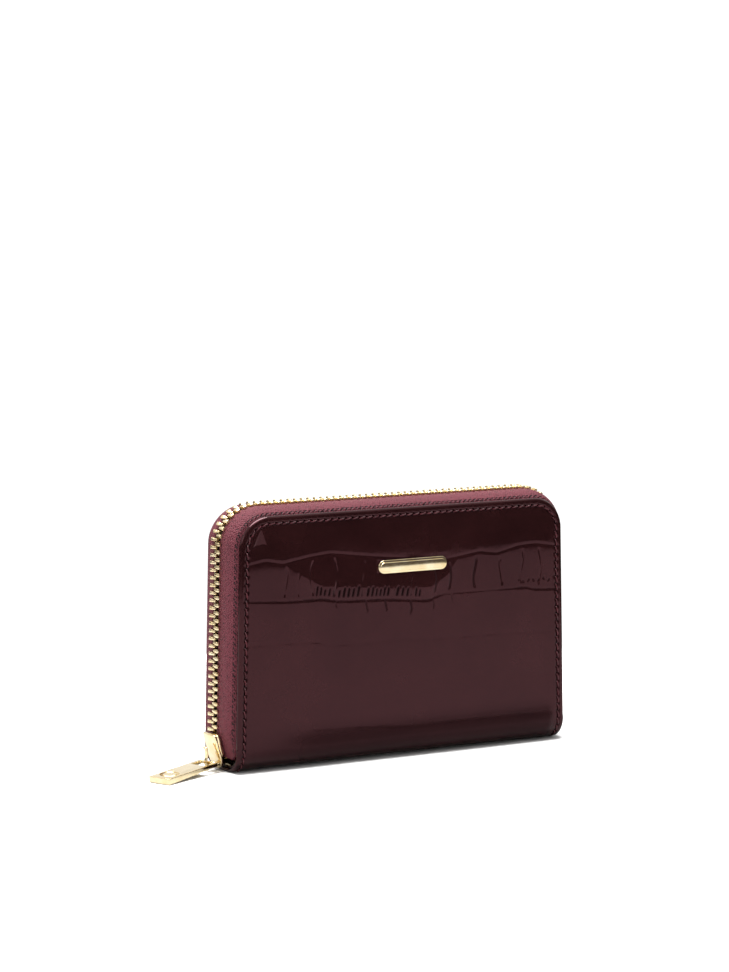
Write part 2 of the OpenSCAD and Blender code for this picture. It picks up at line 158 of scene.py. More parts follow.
class Nodes(Graph):
    """A material's node tree with short calls for the nodes that this scene uses."""

    def __init__(self, name):
        self.material = bpy.data.materials.new(name)
        self.material.use_nodes = True
        super().__init__(self.material.node_tree)
        self.shader = self.tree.nodes["Principled BSDF"]

    def place(self, scale, own=True):
        """Coordinates of the piece in metres times scale: its own 'lay' attribute or the frame."""
        if own:
            source = self.add("ShaderNodeAttribute", attribute_name="lay").outputs["Vector"]
        else:
            source = self.add("ShaderNodeTexCoord").outputs["Object"]
        mapping = self.add("ShaderNodeMapping")
        mapping.inputs["Scale"].default_value = scale if hasattr(scale, "__len__") else (scale,) * 3
        self.link(source, mapping.inputs["Vector"])
        return mapping.outputs["Vector"]

    def noise(self, vector, detail=3.0, rough=0.5):
        node = self.add("ShaderNodeTexNoise")
        node.inputs["Scale"].default_value = 1.0
        node.inputs["Detail"].default_value = detail
        node.inputs["Roughness"].default_value = rough
        self.link(vector, node.inputs["Vector"])
        return node.outputs["Fac"]

    def wave(self, vector, scale, distortion=0.0):
        node = self.add("ShaderNodeTexWave", wave_profile="SIN", bands_direction="X")
        node.inputs["Scale"].default_value = scale
        node.inputs["Distortion"].default_value = distortion
        self.link(vector, node.inputs["Vector"])
        return node.outputs["Fac"]

    def stripes(self, along, scale):
        """Waves along one coordinate."""
        line = self.add("ShaderNodeCombineXYZ")
        self.link(along, line.inputs["X"])
        return self.wave(line.outputs["Vector"], scale)

    def mix(self, fac, color, other):
        """color where fac is 0, the fixed colour other where it is 1."""
        node = self.add("ShaderNodeMix", data_type="RGBA")
        self.link(fac, node.inputs["Factor"])
        self.link(color, node.inputs[6])
        node.inputs[7].default_value = (*other, 1)
        return node.outputs[2]

    def bump(self, height, distance, strength=1.0, under=None):
        node = self.add("ShaderNodeBump")
        node.inputs["Strength"].default_value = strength
        node.inputs["Distance"].default_value = distance
        self.link(height, node.inputs["Height"])
        if under is not None:
            self.link(under, node.inputs["Normal"])
        return node.outputs["Normal"]

    def finish(self, color=None, normal=None, rough=None, **fixed):
        """Links the given outputs, sets the shader's fixed values and returns the material."""
        if color is not None:
            self.link(color, self.shader.inputs["Base Color"])
        if normal is not None:
            self.link(normal, self.shader.inputs["Normal"])
        if rough is not None:
            self.link(rough, self.shader.inputs["Roughness"])
        for name, value in fixed.items():
            self.shader.inputs[name.replace("_", " ")].default_value = value
        return self.material


def grey(value):
    return (value, value, value)


def patent_leather(name, low, high, ior=1.40, tint=(1.0, 0.44, 0.51)):
    """Lacquered leather: deep colour under a clear gloss with a faint orange peel. Where its
    painted shade mask is 1 (grooves, needle holes, ticks, pores, fainter along the front's foot) the colour
    is painted near black as shade and the gloss is dull."""
    n = Nodes(name)
    tone = n.noise(n.place(45), detail=4)
    peel = n.noise(n.place(260), detail=2)
    grain = n.noise(n.place(2600), detail=3)
    normal = n.bump(grain, 0.000002, 0.6, n.bump(peel, 0.00001, 0.8))
    rough = n.ramp(n.noise(n.place(90)), grey(0.03), grey(0.07), 0.3, 0.7)
    pit_shade = n.add("ShaderNodeAttribute", attribute_name="pit_shade").outputs["Fac"]
    # painted shade: the mask mixes the colour towards near black
    color = n.mix(pit_shade, n.ramp(tone, low, high, 0.3, 0.7), (0.004, 0.001, 0.0012))
    n.link(n.plus(0.5, pit_shade, -0.42), n.shader.inputs["Specular IOR Level"])
    return n.finish(color, normal, n.mix(pit_shade, rough, grey(0.75)), IOR=ior, Specular_Tint=(*tint, 1))


def gold_metal(name, own=True, rough=(0.10, 0.2)):
    """Pale polished plating with fine wear marks."""
    n = Nodes(name)
    tone = n.noise(n.place(220, own), detail=3)
    marks = n.noise(n.place((5200, 600, 2400), own), detail=2)
    wear = n.noise(n.place(900, own), detail=4)
    color = n.ramp(tone, (0.80, 0.63, 0.34), (0.93, 0.80, 0.55), 0.3, 0.7)
    rough_out = n.ramp(wear, grey(rough[0]), grey(rough[1]), 0.35, 0.75)
    return n.finish(color, n.bump(marks, 0.000004, 0.5), rough_out, Metallic=1.0)


def zip_tape_cloth(name):
    """Twill tape: slanting ribs that fold back and forth across it, over crossing yarns."""
    rib_turn = 0.0024        # the ribs change direction this often across the tape
    edge, edge_half = 0.0049, 0.00045   # the darker slanting dashes beside the leather's edge
    n = Nodes(name)
    place = n.axes(n.place(1))
    along, across = place["X"], place["Y"]
    ribs = n.stripes(n.plus(along, n.math("PINGPONG", across, rib_turn), 0.9), 330)
    yarns = n.stripes(across, 430)
    fluff = n.noise(n.place((760, 620, 1)), detail=3, rough=0.75)
    height = n.plus(n.plus(n.math("MULTIPLY", ribs, 0.32), yarns, 0.22), fluff, 1.9)
    dashes = n.stripes(n.plus(along, across, -1.6), 175)
    beside = n.math("LESS_THAN", n.math("ABSOLUTE", n.math("SUBTRACT", across, edge), 0), edge_half)
    height = n.plus(height, n.math("MULTIPLY", dashes, beside), -0.5)
    color = n.ramp(height, (0.012, 0.0016, 0.0033), (0.094, 0.0155, 0.0240), 0.84, 1.16)
    return n.finish(color, n.bump(height, 0.00040, 1.0), Roughness=0.7, Specular_IOR_Level=0.25)


def woven_lining(name, low, high):
    """Plain weave cloth with a little fluff."""
    n = Nodes(name)
    place = n.axes(n.place(1))
    weave = n.math("MULTIPLY", *[n.stripes(place[axis], 560) for axis in ("X", "Z")])
    height = n.plus(weave, n.noise(n.place(1500), detail=3), 0.5)
    color = n.ramp(height, low, high, 0.2, 1.2)
    return n.finish(color, n.bump(height, 0.00012, 0.8), Roughness=0.7, Sheen_Weight=0.2)


def grained_leather(name, low, high):
    """Soft leather with a fine pebble grain."""
    n = Nodes(name)
    cells = n.add("ShaderNodeTexVoronoi", feature="SMOOTH_F1")
    cells.inputs["Scale"].default_value = 1.0
    n.link(n.place(1300), cells.inputs["Vector"])
    tone = n.noise(n.place(60), detail=4)
    height = n.plus(cells.outputs["Distance"], n.noise(n.place(3800), detail=2), 0.3)
    return n.finish(n.ramp(tone, low, high, 0.3, 0.7), n.bump(height, 0.00010, 0.7), Roughness=0.42)


def twisted_thread(name, low, high):
    """Polished thread with the twist of its yarns."""
    n = Nodes(name)
    tone = n.noise(n.place(700), detail=2)
    twist = n.wave(n.place(1), 900, 1.5)
    return n.finish(n.ramp(tone, low, high, 0.3, 0.7), n.bump(twist, 0.00008, 0.8),
                    Roughness=0.33, Specular_IOR_Level=0.35)


def fibre_board(name):
    """Grey board with long fibres, hidden inside the covers."""
    n = Nodes(name)
    fibres = n.noise(n.place((900, 900, 2600), False), detail=5)
    color = n.ramp(fibres, (0.20, 0.17, 0.14), (0.36, 0.32, 0.27), 0.3, 0.7)
    return n.finish(color, n.bump(fibres, 0.0001, 0.6), Roughness=0.85)


PATENT = patent_leather("patent_croc", (0.0090, 0.0026, 0.0028), (0.0140, 0.0040, 0.0042))
END_LEATHER = patent_leather("patent_black", (0.006, 0.002, 0.003), (0.011, 0.003, 0.004), ior=1.45,
                             tint=(1.0, 0.9, 0.9))
GOLD = gold_metal("pale_gold")
GOLD_TEETH = gold_metal("tooth_gold", rough=(0.24, 0.38))
GOLD_CAD = gold_metal("pale_gold_cad", own=False)
TAPE = zip_tape_cloth("twill_tape")
LINING = woven_lining("lining_cloth", (0.045, 0.006, 0.012), (0.11, 0.018, 0.030))
SLIP = grained_leather("slip_leather_fine", (0.050, 0.006, 0.010), (0.085, 0.012, 0.018))
THREAD = twisted_thread("stitch_thread", (0.032, 0.004, 0.007), (0.070, 0.010, 0.015))
BOARD = fibre_board("board_fibre")


# ---- Mesh tools ----
def add_mesh(name, verts, faces, material, lay=None, sharp=40, recalc=True):
    """Makes a smooth shaded mesh object. lay holds the resting coordinates for its material."""
    verts = np.asarray(verts, float) * MM
    mesh = bpy.data.meshes.new(name)
    mesh.from_pydata(verts.tolist(), [], faces)
    mesh.materials.append(material)
    lay = verts if lay is None else np.asarray(lay, float) * MM
    mesh.attributes.new("lay", "FLOAT_VECTOR", "POINT").data.foreach_set("vector", lay.ravel())
    if recalc:
        bm = bmesh.new()
        bm.from_mesh(mesh)
        bmesh.ops.recalc_face_normals(bm, faces=bm.faces)
        bm.to_mesh(mesh)
        bm.free()
    mesh.polygons.foreach_set("use_smooth", [True] * len(mesh.polygons))
    mesh.set_sharp_from_angle(angle=math.radians(sharp))
    mesh.update()
    ob = bpy.data.objects.new(name, mesh)
    bpy.context.collection.objects.link(ob)
    return ob


def smooth_step(t):
    t = np.clip(t, 0.0, 1.0)
    return t * t * (3 - 2 * t)


def spline(points, count):
    """Catmull-Rom curve through the points, count samples at even parameter steps."""
    p = np.asarray(points, float)
    p = np.vstack([2 * p[0] - p[1], p, 2 * p[-1] - p[-2]])
    t = np.linspace(0, len(p) - 3 - 1e-9, count)
    i = t.astype(int)
    f = (t - i)[:, None]
    a, b, c, d = p[i], p[i + 1], p[i + 2], p[i + 3]
    return 0.5 * (2 * b + (c - a) * f + (2 * a - 5 * b + 4 * c - d) * f ** 2
                  + (3 * b - 3 * c + d - a) * f ** 3)


def rings_to_faces(rings, around):
    """Faces of a closed tube of rings cross-sections with around points each."""
    faces = []
    for r in range(rings - 1):
        for j in range(around):
            k = (j + 1) % around
            faces.append((r * around + j, r * around + k, (r + 1) * around + k, (r + 1) * around + j))
    faces.append(tuple(range(around)))
    faces.append(tuple((rings - 1) * around + j for j in range(around)))
    return faces


def tube(rings):
    """(verts, faces) of a closed tube through rings of points."""
    return np.vstack(rings), rings_to_faces(len(rings), len(rings[0]))


def grid_faces(rows, cols):
    return [(r * cols + c, r * cols + c + 1, (r + 1) * cols + c + 1, (r + 1) * cols + c)
            for r in range(rows - 1) for c in range(cols - 1)]


def shell_faces(rows, cols):
    """Faces of two grids of points, one over the other, and of the strip between their edges."""
    n = rows * cols
    faces = grid_faces(rows, cols)
    faces += [tuple(k + n for k in reversed(f)) for f in faces]
    ring = [(0, j) for j in range(cols)] + [(i, cols - 1) for i in range(1, rows)]
    ring += [(rows - 1, j) for j in range(cols - 2, -1, -1)] + [(i, 0) for i in range(rows - 2, 0, -1)]
    edge = [i * cols + j for i, j in ring]
    return faces + [(a, b, n + b, n + a) for a, b in zip(edge, edge[1:] + edge[:1])]


def unit(vectors):
    return vectors / np.linalg.norm(vectors, axis=1)[:, None]


def circle(count):
    """Angles of count points evenly round a circle."""
    return np.linspace(0, 2 * math.pi, count, endpoint=False)


def slab(outline, low, high, bevel, segments=3):
    """(verts, faces) of a plate with rounded edges. The outline lies in the first two coordinates."""
    bm = bmesh.new()
    ring = [bm.verts.new((p[0], p[1], low)) for p in outline]
    face = bm.faces.new(ring)
    made = bmesh.ops.extrude_face_region(bm, geom=[face])
    for v in made["geom"]:
        if isinstance(v, bmesh.types.BMVert):
            v.co.z = high
    bmesh.ops.recalc_face_normals(bm, faces=bm.faces)
    sharp = [e for e in bm.edges if e.calc_face_angle(0) > 0.45]
    bmesh.ops.bevel(bm, geom=sharp, offset=bevel, segments=segments, profile=0.5, affect="EDGES",
                    clamp_overlap=True)
    bm.verts.index_update()
    verts = np.array([v.co[:] for v in bm.verts])
    faces = [tuple(v.index for v in f.verts) for f in bm.faces]
    bm.free()
    return verts, faces


def join_parts(parts):
    """One (verts, faces) from several."""
    verts, faces, start = [], [], 0
    for v, f in parts:
        verts.append(v)
        faces += [tuple(i + start for i in face) for face in f]
        start += len(v)
    return np.vstack(verts), faces


def stands_for(nodes):
    """The piece takes the CAD nodes' place: they are hidden."""
    if nodes:
        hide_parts(*nodes)


def ride(ob, body, slot, *nodes):
    stands_for(nodes)
    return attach(ob, body)


def bend(ob, side, slot, *nodes):
    stands_for(nodes)
    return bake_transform(ob)


def cover_name(side):
    return "front" if side == FRONT else "rear"


def half_body(side):
    return cover_name(side) + "_half"


def end_name(x_side):
    return "left" if x_side < 0 else "right"


# ---- Outer leather ----
# Height coordinate h: z on the cover, running on below FOLD_R as length round the fold and
# along the spine's underside to its middle line.
H_FOLD = FOLD_R * (1 - math.pi / 2)
H_MIDDLE = H_FOLD - FLAT
SPINE_ARCH = 0.5               # the underside hollows by this much half way along the spine
EDGE_R = 1.0                   # width of the rounded leather edge
THIN, THICK = 1.25, 2.02       # leather edge at the spine and round the covers
SIDE_BAND, SIDE_STEP = 4.2, 0.17   # the skin's grid has this fine step along the two sides
SKIN_TURN_IN = 1.6             # the skin's inside reaches this far in from its rounded edge
LAY_APART = 100.0              # keeps the two covers' grain from being mirror images


def surface(x, h, side, lift=0.0):
    """Points of the outer leather at (x, h), moved out by lift along its normal."""
    turn = np.clip(math.pi / 2 - (FOLD_R - h) / FOLD_R, 0, math.pi / 2)
    lift = lift - SPINE_ARCH * (1 - (x / SPINE_X) ** 2) * np.cos(turn) ** 2
    depth = FLAT + (FOLD_R + lift) * np.sin(turn) + np.minimum(h - H_FOLD, 0)
    z = FOLD_R - (FOLD_R + lift) * np.cos(turn) + np.maximum(h - FOLD_R, 0)
    return np.stack(np.broadcast_arrays(x, side * depth, z), axis=-1)


def edge_thickness(h):
    return THIN + (THICK - THIN) * np.clip(h - FOLD_R, 0, 1)


# Creases of the embossed crocodile pattern: heights along x, depth and half width of each
FRONT_CREASES = [
    ([(-65, 69.6), (-60, 70.1), (-54, 71.1), (-47.5, 69.8), (-37, 71.5), (-29.5, 72.2), (-14, 70.2),
      (0, 68.6), (10, 67), (18.5, 67.5), (29.5, 69), (36.5, 68), (45.5, 70), (52.5, 70.3), (61.5, 68.8),
      (65, 68.6)], 0.115, 0.32),
    ([(-65, 58.3), (-60, 58), (-45, 57), (-33, 57), (-26, 55.8), (-7, 55), (9, 53.5), (12.5, 54.8),
      (16, 55.3), (38, 55.2), (49, 55.2), (52, 54.3), (61, 53.8), (65, 53.8)], 0.10, 0.31),
    ([(-65, 43.3), (-45, 43.1), (-34, 42.6), (-30, 41.1), (-16, 40.8), (0, 41), (13, 40.1),
      (43, 39.8), (65, 38.6)], 0.031, 0.60),
    ([(-65, 28.3), (-40, 27.4), (-16, 27.8), (13, 25.9), (40, 25.2), (65, 23.6)], 0.022, 0.75),
    ([(-65, 15), (-45, 13.7), (-22, 12.9), (3, 10.8), (23, 11), (65, 10.3)], 0.036, 0.85),
    ([(-65, -1), (-20, -2.2), (25, -0.8), (65, -1.6)], 0.04, 0.8),
]
REAR_CREASES = [
    ([(-65, 74), (-48, 72.6), (-30, 73.8), (-8, 71.9), (14, 73.4), (37, 71.8), (65, 73.2)], 0.20, 0.50),
    ([(-65, 59.8), (-43, 61.2), (-21, 59.1), (2, 60.4), (29, 58.4), (65, 60)], 0.13, 0.45),
    ([(-65, 46), (-38, 44.6), (-12, 46.1), (19, 44.3), (45, 45.6), (65, 44.8)], 0.07, 0.55),
    ([(-65, 30.6), (-30, 31.8), (4, 30.1), (33, 31.4), (65, 30.2)], 0.05, 0.7),
    ([(-65, 16.2), (-26, 15), (12, 16.4), (48, 14.9), (65, 15.6)], 0.05, 0.8),
    ([(-65, -1), (-20, -2.2), (25, -0.8), (65, -1.6)], 0.04, 0.8),
]
# Upright creases: x, depth; those of the row between the two top creases, and the short
# ones that hang below the second crease
FRONT_UPRIGHTS = [(-46.4, 0.04), (-41.4, 0.05), (-36.5, 0.17), (-27.3, 0.17), (-16.4, 0.07), (-5.5, 0.06),
                  (2.8, 0.05), (11.5, 0.09), (17.5, 0.13), (27.6, 0.11), (38.2, 0.08), (46.8, 0.04),
                  (54.3, 0.04)]
SHADED_UPRIGHTS = (11.5, 17.5, 27.6)   # the upright creases of the front with painted shade and a dull gloss inside
FRONT_HANGERS = [(-27.0, 0.05, 3.0), (-15.3, 0.10, 5.0), (-7.8, 0.12, 4.6), (2.0, 0.12, 6.0),
                 (10.8, 0.07, 5.0), (18.5, 0.04, 4.5)]
REAR_UPRIGHTS = [(-52, 0.06), (-41, 0.11), (-30, 0.12), (-19.5, 0.09), (-7, 0.12), (4.4, 0.11), (15, 0.12),
                 (26.5, 0.10), (38.5, 0.12), (49.5, 0.07)]
REAR_HANGERS = [(-46, 0.07, 5.0), (-35, 0.10, 5.5), (-13, 0.10, 4.6), (10, 0.09, 5.2), (32, 0.10, 5.0)]
TICK_PITCH, PORE_PITCH = 1.75, 2.1   # spacing of the short ticks and of the pores
SCALE_LEAN, OUTER_LEAN = 0.030, 0.0040   # slopes of the scales behind the name bar and beyond


def crease_height(points, x):
    """Height of a crease at x, its corners softened over a millimetre."""
    xs, hs = zip(*points)
    return sum(np.interp(x + shift, xs, hs) for shift in (-0.9, -0.3, 0.3, 0.9)) / 4


def groove(distance, width):
    return np.exp(-(distance / width) ** 2)


def slow_wave(x, h, seed):
    """Gentle unevenness of the leather, about -1 to 1."""
    total = np.zeros(np.broadcast(x, h).shape)
    for k, length in enumerate((31.0, 19.0, 12.0)):
        way = seed + 2.1 * k
        total = total + np.sin((x * math.cos(way) + h * math.sin(way)) * 2 * math.pi / length + 1.7 * way)
    return total / 3


STITCH_IN, STITCH_PITCH, STITCH_Z0 = 2.5, 2.65, 11.0   # in from the outline, spacing, start height
STITCH_LOW = -3.5              # height coordinate of the lowest stitches
STITCH_R, STITCH_SHARE = 0.25, 0.92   # a stitch's thread radius, and its length over the spacing
STITCH_TOTAL = path_len(-STITCH_IN, STITCH_Z0)


def stitch_place(s):
    """(x, h, direction) on the stitch line at length s, which runs on down round the fold."""
    if s > STITCH_TOTAL / 2:
        x, h, way = stitch_place(STITCH_TOTAL - s)
        return -x, h, -way
    if s >= 0:
        return path_at(s, -STITCH_IN, STITCH_Z0)
    h = STITCH_Z0 + s * math.cos(LEAN)
    return -side_x(max(h, FOLD_R), -STITCH_IN), h, SWEEP


def edge_frame(x, h):
    """(distance inside the outline, length along the stitch line) of points on a cover."""
    ax = np.abs(x)
    side_off = (ax - side_x(np.maximum(h, FOLD_R))) * math.cos(LEAN)
    radius = np.hypot(ax - CORNER_X, h - CORNER_Z)
    polar = np.arctan2(h - CORNER_Z, ax - CORNER_X)
    in_corner = (ax > CORNER_X) & (polar > LEAN)
    on_top = (ax <= CORNER_X) & (HEIGHT - h < side_x(CORNER_Z) - ax)
    off = np.where(in_corner, radius - CORNER_R, np.where(on_top, h - HEIGHT, side_off))
    a = side_len(-STITCH_IN, STITCH_Z0)
    arc = (CORNER_R - STITCH_IN) * SWEEP
    s = (h - STITCH_Z0) / math.cos(LEAN)
    s = np.where(in_corner, a + (polar - LEAN) * (CORNER_R - STITCH_IN), s)
    s = np.where(on_top, a + arc + CORNER_X - ax, s)
    return off, np.where(x > 0, STITCH_TOTAL - s, s)


def foot_bulge(x, h, off):
    """Fullness of the front leather above the fold, and the painted shade with a duller gloss along it.
    Both fade towards the left end and before the stitches."""
    fade = smooth_step((x + 64) / 34) * smooth_step((-off - 3) / 4) * smooth_step((h + 3) / 6)
    return 0.5 * fade * smooth_step((13.4 - h) / 7), 0.42 * fade * smooth_step((17 - h) / 9)


def crease_relief(x, h, creases, heights, front):
    """(relief, painted shade) of the creases that run across the cover."""
    out, pit_shade = 0, 0
    for k, ((_, depth, width), line) in enumerate(zip(creases, heights)):
        share = 1.0
        if k == 1 and front:  # the second crease fades between its two strong stretches
            share = 1 - 0.75 * smooth_step((x - 10) / 5) * smooth_step((47 - x) / 4)
            share = share * (0.35 + 0.65 * smooth_step((x + 58) / 14))
        wobble = 1 + 0.35 * slow_wave(x * 3.1, h, 1.3 + k)
        out = out - share * depth * wobble * groove(h - line, width)
        # painted shade along the second crease, darkening its line
        if k == 1:
            pit_shade = pit_shade + share * (0.55 + 0.45 * slow_wave(x * 4.3, h, 5.0)) * groove(h - line, 0.24)
        out = out - share * 0.06 * depth * np.exp(-np.abs(h - line) / 1.6)
    return out, pit_shade


def upright_relief(x, h, top, second, uprights, front):
    """(relief, painted shade) of the upright creases between the two top creases."""
    out, pit_shade = 0, 0
    inside = smooth_step((h - second - 1.0) / 1.5) * smooth_step((top - h - 1.0) / 2.0)
    for x0, depth in uprights:
        drift = 0.5 * np.sin(0.45 * (h - second) + x0)
        mark = inside * groove(x - x0 - drift, 0.30)
        out = out - depth * mark - 0.1 * depth * inside * np.exp(-np.abs(x - x0 - drift) / 1.2)
        # painted shade inside these upright creases
        if front and x0 in SHADED_UPRIGHTS:
            pit_shade = pit_shade + 0.8 * mark
    return out, pit_shade


def hanger_relief(x, h, second, hangers):
    """(relief, painted shade) of the short creases that hang below the second one."""
    out, pit_shade = 0, 0
    for x0, depth, length in hangers:
        below = smooth_step((second - h) / 0.6) * smooth_step((h - second + length) / (0.6 * length))
        mark = below * groove(x - x0 - 0.25 * np.sin(h), 0.28)
        # the hanging creases are pressed in and get painted shade
        out, pit_shade = out - depth * mark, pit_shade + 6 * depth * mark
    return out, pit_shade


def lower_row_relief(x, h, second, third):
    """Faint upright creases of the rear cover's next row."""
    row = smooth_step((h - third - 1) / 2) * smooth_step((second - h - 1) / 3)
    return sum(-0.6 * depth * row * groove(x - x0 * 0.9 - 3, 0.35) for x0, depth in FRONT_UPRIGHTS[::2])


def scale_lean(x, h, top, second):
    """The scales behind the name bar lean back from a swelling above the second crease."""
    swell = np.interp(x, [-45, -33, -18, 0, 10, 16.5, 21], [68.5, 61.2, 59.7, 58, 58, 61.8, 67.5])
    part = smooth_step((x + 46) / 6) * smooth_step((22 - x) / 5)
    outer = smooth_step((-42 - x) / 6) + smooth_step((x - 24) / 6)
    rise = np.clip(np.minimum(top - h, top - swell), 0, None) * SCALE_LEAN
    fall = np.clip((h - second) / np.maximum(swell - second, 0.5), 0, 1)
    lean = np.where(h > swell, rise, rise * smooth_step(fall)) * smooth_step((h - second) / 0.8)
    return OUTER_LEAN * outer * np.clip(h - 60, 0, 11) + part * lean


def tick_marks(x, h, second, uprights):
    """Short ticks above the second crease, leaning a little, pressed in and darkened with painted shade."""
    tick = (x - 0.14 * (h - second) + 0.7 * slow_wave(x * 1.6, 0 * h, 6.2)) / TICK_PITCH
    tick = np.abs(tick - np.round(tick)) * TICK_PITCH
    tick_top = second + 4.7 + 1.0 * slow_wave(x * 2.3, 0 * h, 2.2)
    span = smooth_step((h - second - 1.1) / 0.5) * smooth_step((tick_top - h) / 1.2)
    reach = smooth_step((x + 37) / 3) * smooth_step((6.5 - x) / 1.5)
    for x0, _ in uprights:  # none stands beside an upright crease
        reach = reach * smooth_step((np.abs(x - x0) - 0.5) / 0.5)
    return span * reach * groove(tick, 0.38)


def pore_marks(x, h):
    """A row of pores near the right edge, pressed in and darkened with painted shade."""
    pore_x = (x - 45.3) / PORE_PITCH
    pore = np.hypot((pore_x - np.round(pore_x)) * PORE_PITCH, h - 57.6 - 0.7 * np.sin(1.4 * x))
    return smooth_step((x - 45) / 1) * groove(pore, 0.30)


def pressed_triangle(x, h):
    """Small triangle pressed into the top left corner, its floor slanting downwards."""
    corners = [(-58.3, 76.0), (-54.0, 76.4), (-55.6, 81.8)]
    inside = np.full(x.shape, 9.0)
    for (xa, ha), (xb, hb) in zip(corners, corners[1:] + corners[:1]):
        edge = math.hypot(xb - xa, hb - ha)
        inside = np.minimum(inside, ((xb - xa) * (h - ha) - (hb - ha) * (x - xa)) / edge)
    return -0.035 * np.clip(82.5 - h, 0, 7) * smooth_step((inside + 0.2) / 0.5)


def scale_relief(x, h, side):
    """(relief, painted shade) of the embossed scales, with the leather's own unevenness."""
    front = side == FRONT
    creases, uprights, hangers = (
        (FRONT_CREASES, FRONT_UPRIGHTS, FRONT_HANGERS) if front
        else (REAR_CREASES, REAR_UPRIGHTS, REAR_HANGERS))
    heights = [crease_height(points, x) for points, _, _ in creases]
    top, second, third = heights[:3]
    reliefs, pit_shades = zip(crease_relief(x, h, creases, heights, front),
                        upright_relief(x, h, top, second, uprights, front),
                        hanger_relief(x, h, second, hangers))
    out, pit_shade = 0.012 * slow_wave(x, h, 0.4 if front else 2.9) + sum(reliefs), sum(pit_shades)
    if not front:
        return out + lower_row_relief(x, h, second, third), pit_shade
    ticks, pores = tick_marks(x, h, second, uprights), pore_marks(x, h)
    out = out + scale_lean(x, h, top, second) - 0.12 * ticks - 0.10 * pores + pressed_triangle(x, h)
    # painted shade in the ticks and pores
    return out, pit_shade + (1.5 + 0.6 * slow_wave(x * 2.7, h, 3.1)) * ticks + pores


def stitch_relief(off, s, h):
    """Groove, needle holes and padded margin along the stitch line, with painted shade in the holes."""
    hole = (s / STITCH_PITCH - np.round(s / STITCH_PITCH)) * STITCH_PITCH
    across = off + STITCH_IN
    here = smooth_step((h - STITCH_LOW) / 1.0)
    out = -0.10 * groove(across, 0.42) * here
    needle = groove(np.hypot(hole, across), 0.50) * here
    # the second value is painted shade in the needle holes
    return out - 0.66 * needle + 0.05 * groove(off + 1.55, 0.5), 1.5 * needle


def row_layout():
    """Rows of the leather grid: (h, half width), the half width measured to the rounded edge."""
    low = np.linspace(H_MIDDLE, CORNER_Z + (CORNER_R - EDGE_R) * math.sin(LEAN), 262)[:-1]
    low_w = [side_x(max(h, FOLD_R), -EDGE_R) for h in low]
    polar = np.linspace(LEAN, math.pi / 2, 64)
    high = CORNER_Z + (CORNER_R - EDGE_R) * np.sin(polar)
    high_w = CORNER_X + (CORNER_R - EDGE_R) * np.cos(polar)
    return np.concatenate([low, high]), np.concatenate([low_w, high_w]), len(low)


def leather_grid():
    """(x, h) of the skin's outer points, closer together towards the two sides."""
    h_rows, w_rows, n_low = row_layout()
    fine = np.arange(0, SIDE_BAND, SIDE_STEP)
    half = np.concatenate([fine, np.linspace(SIDE_BAND, W_BOTTOM / 2 - EDGE_R, 250)])
    across = (half - half[-1]) / half[-1]
    across = np.concatenate([across, -across[-2::-1]])
    x = across[None, :] * w_rows[:, None]
    return x, np.repeat(h_rows[:, None], len(across), axis=1), n_low


def leather_relief(x, h, side):
    """(relief, painted shade) over the grid: scales, stitch line and, in front, the bar's flat seat."""
    off, s = edge_frame(x, h)
    relief, pit_shade = scale_relief(x, h, side)
    relief = relief * smooth_step((-off - EDGE_R) / 0.8) * smooth_step((h - H_MIDDLE) / 2.0)
    needles, hole_shade = stitch_relief(off, s, h)
    relief = relief + needles * smooth_step((-off - EDGE_R) / 0.35)
    pit_shade = np.clip(pit_shade * smooth_step((-off - STITCH_IN - 0.5) / 0.5) + hole_shade, 0, 1)
    if side == REAR:
        return relief, pit_shade
    # the second value of foot_bulge is painted shade, with a duller gloss, along the front's foot
    bulge, foot_shade = foot_bulge(x, h, off)
    bar = np.maximum(np.abs(x - BAR_X) - BAR_W / 2, np.abs(h - BAR_Z) - BAR_H / 2)
    return relief * smooth_step((bar - 0.1) / 1.4 + 0.15) + bulge, np.maximum(pit_shade, foot_shade)


def edge_way(x, h, row, n_low, rows):
    """Direction (x, h) straight out of the outline at a point of the grid's edge."""
    if row < n_low:
        lean = LEAN if h > FOLD_R else 0
        return math.copysign(math.cos(lean), x), math.sin(lean)
    if row == rows - 1:
        return 0.0, 1.0
    r = CORNER_R - EDGE_R
    return (abs(x) - CORNER_X) / r * math.copysign(1, x), (h - CORNER_Z) / r


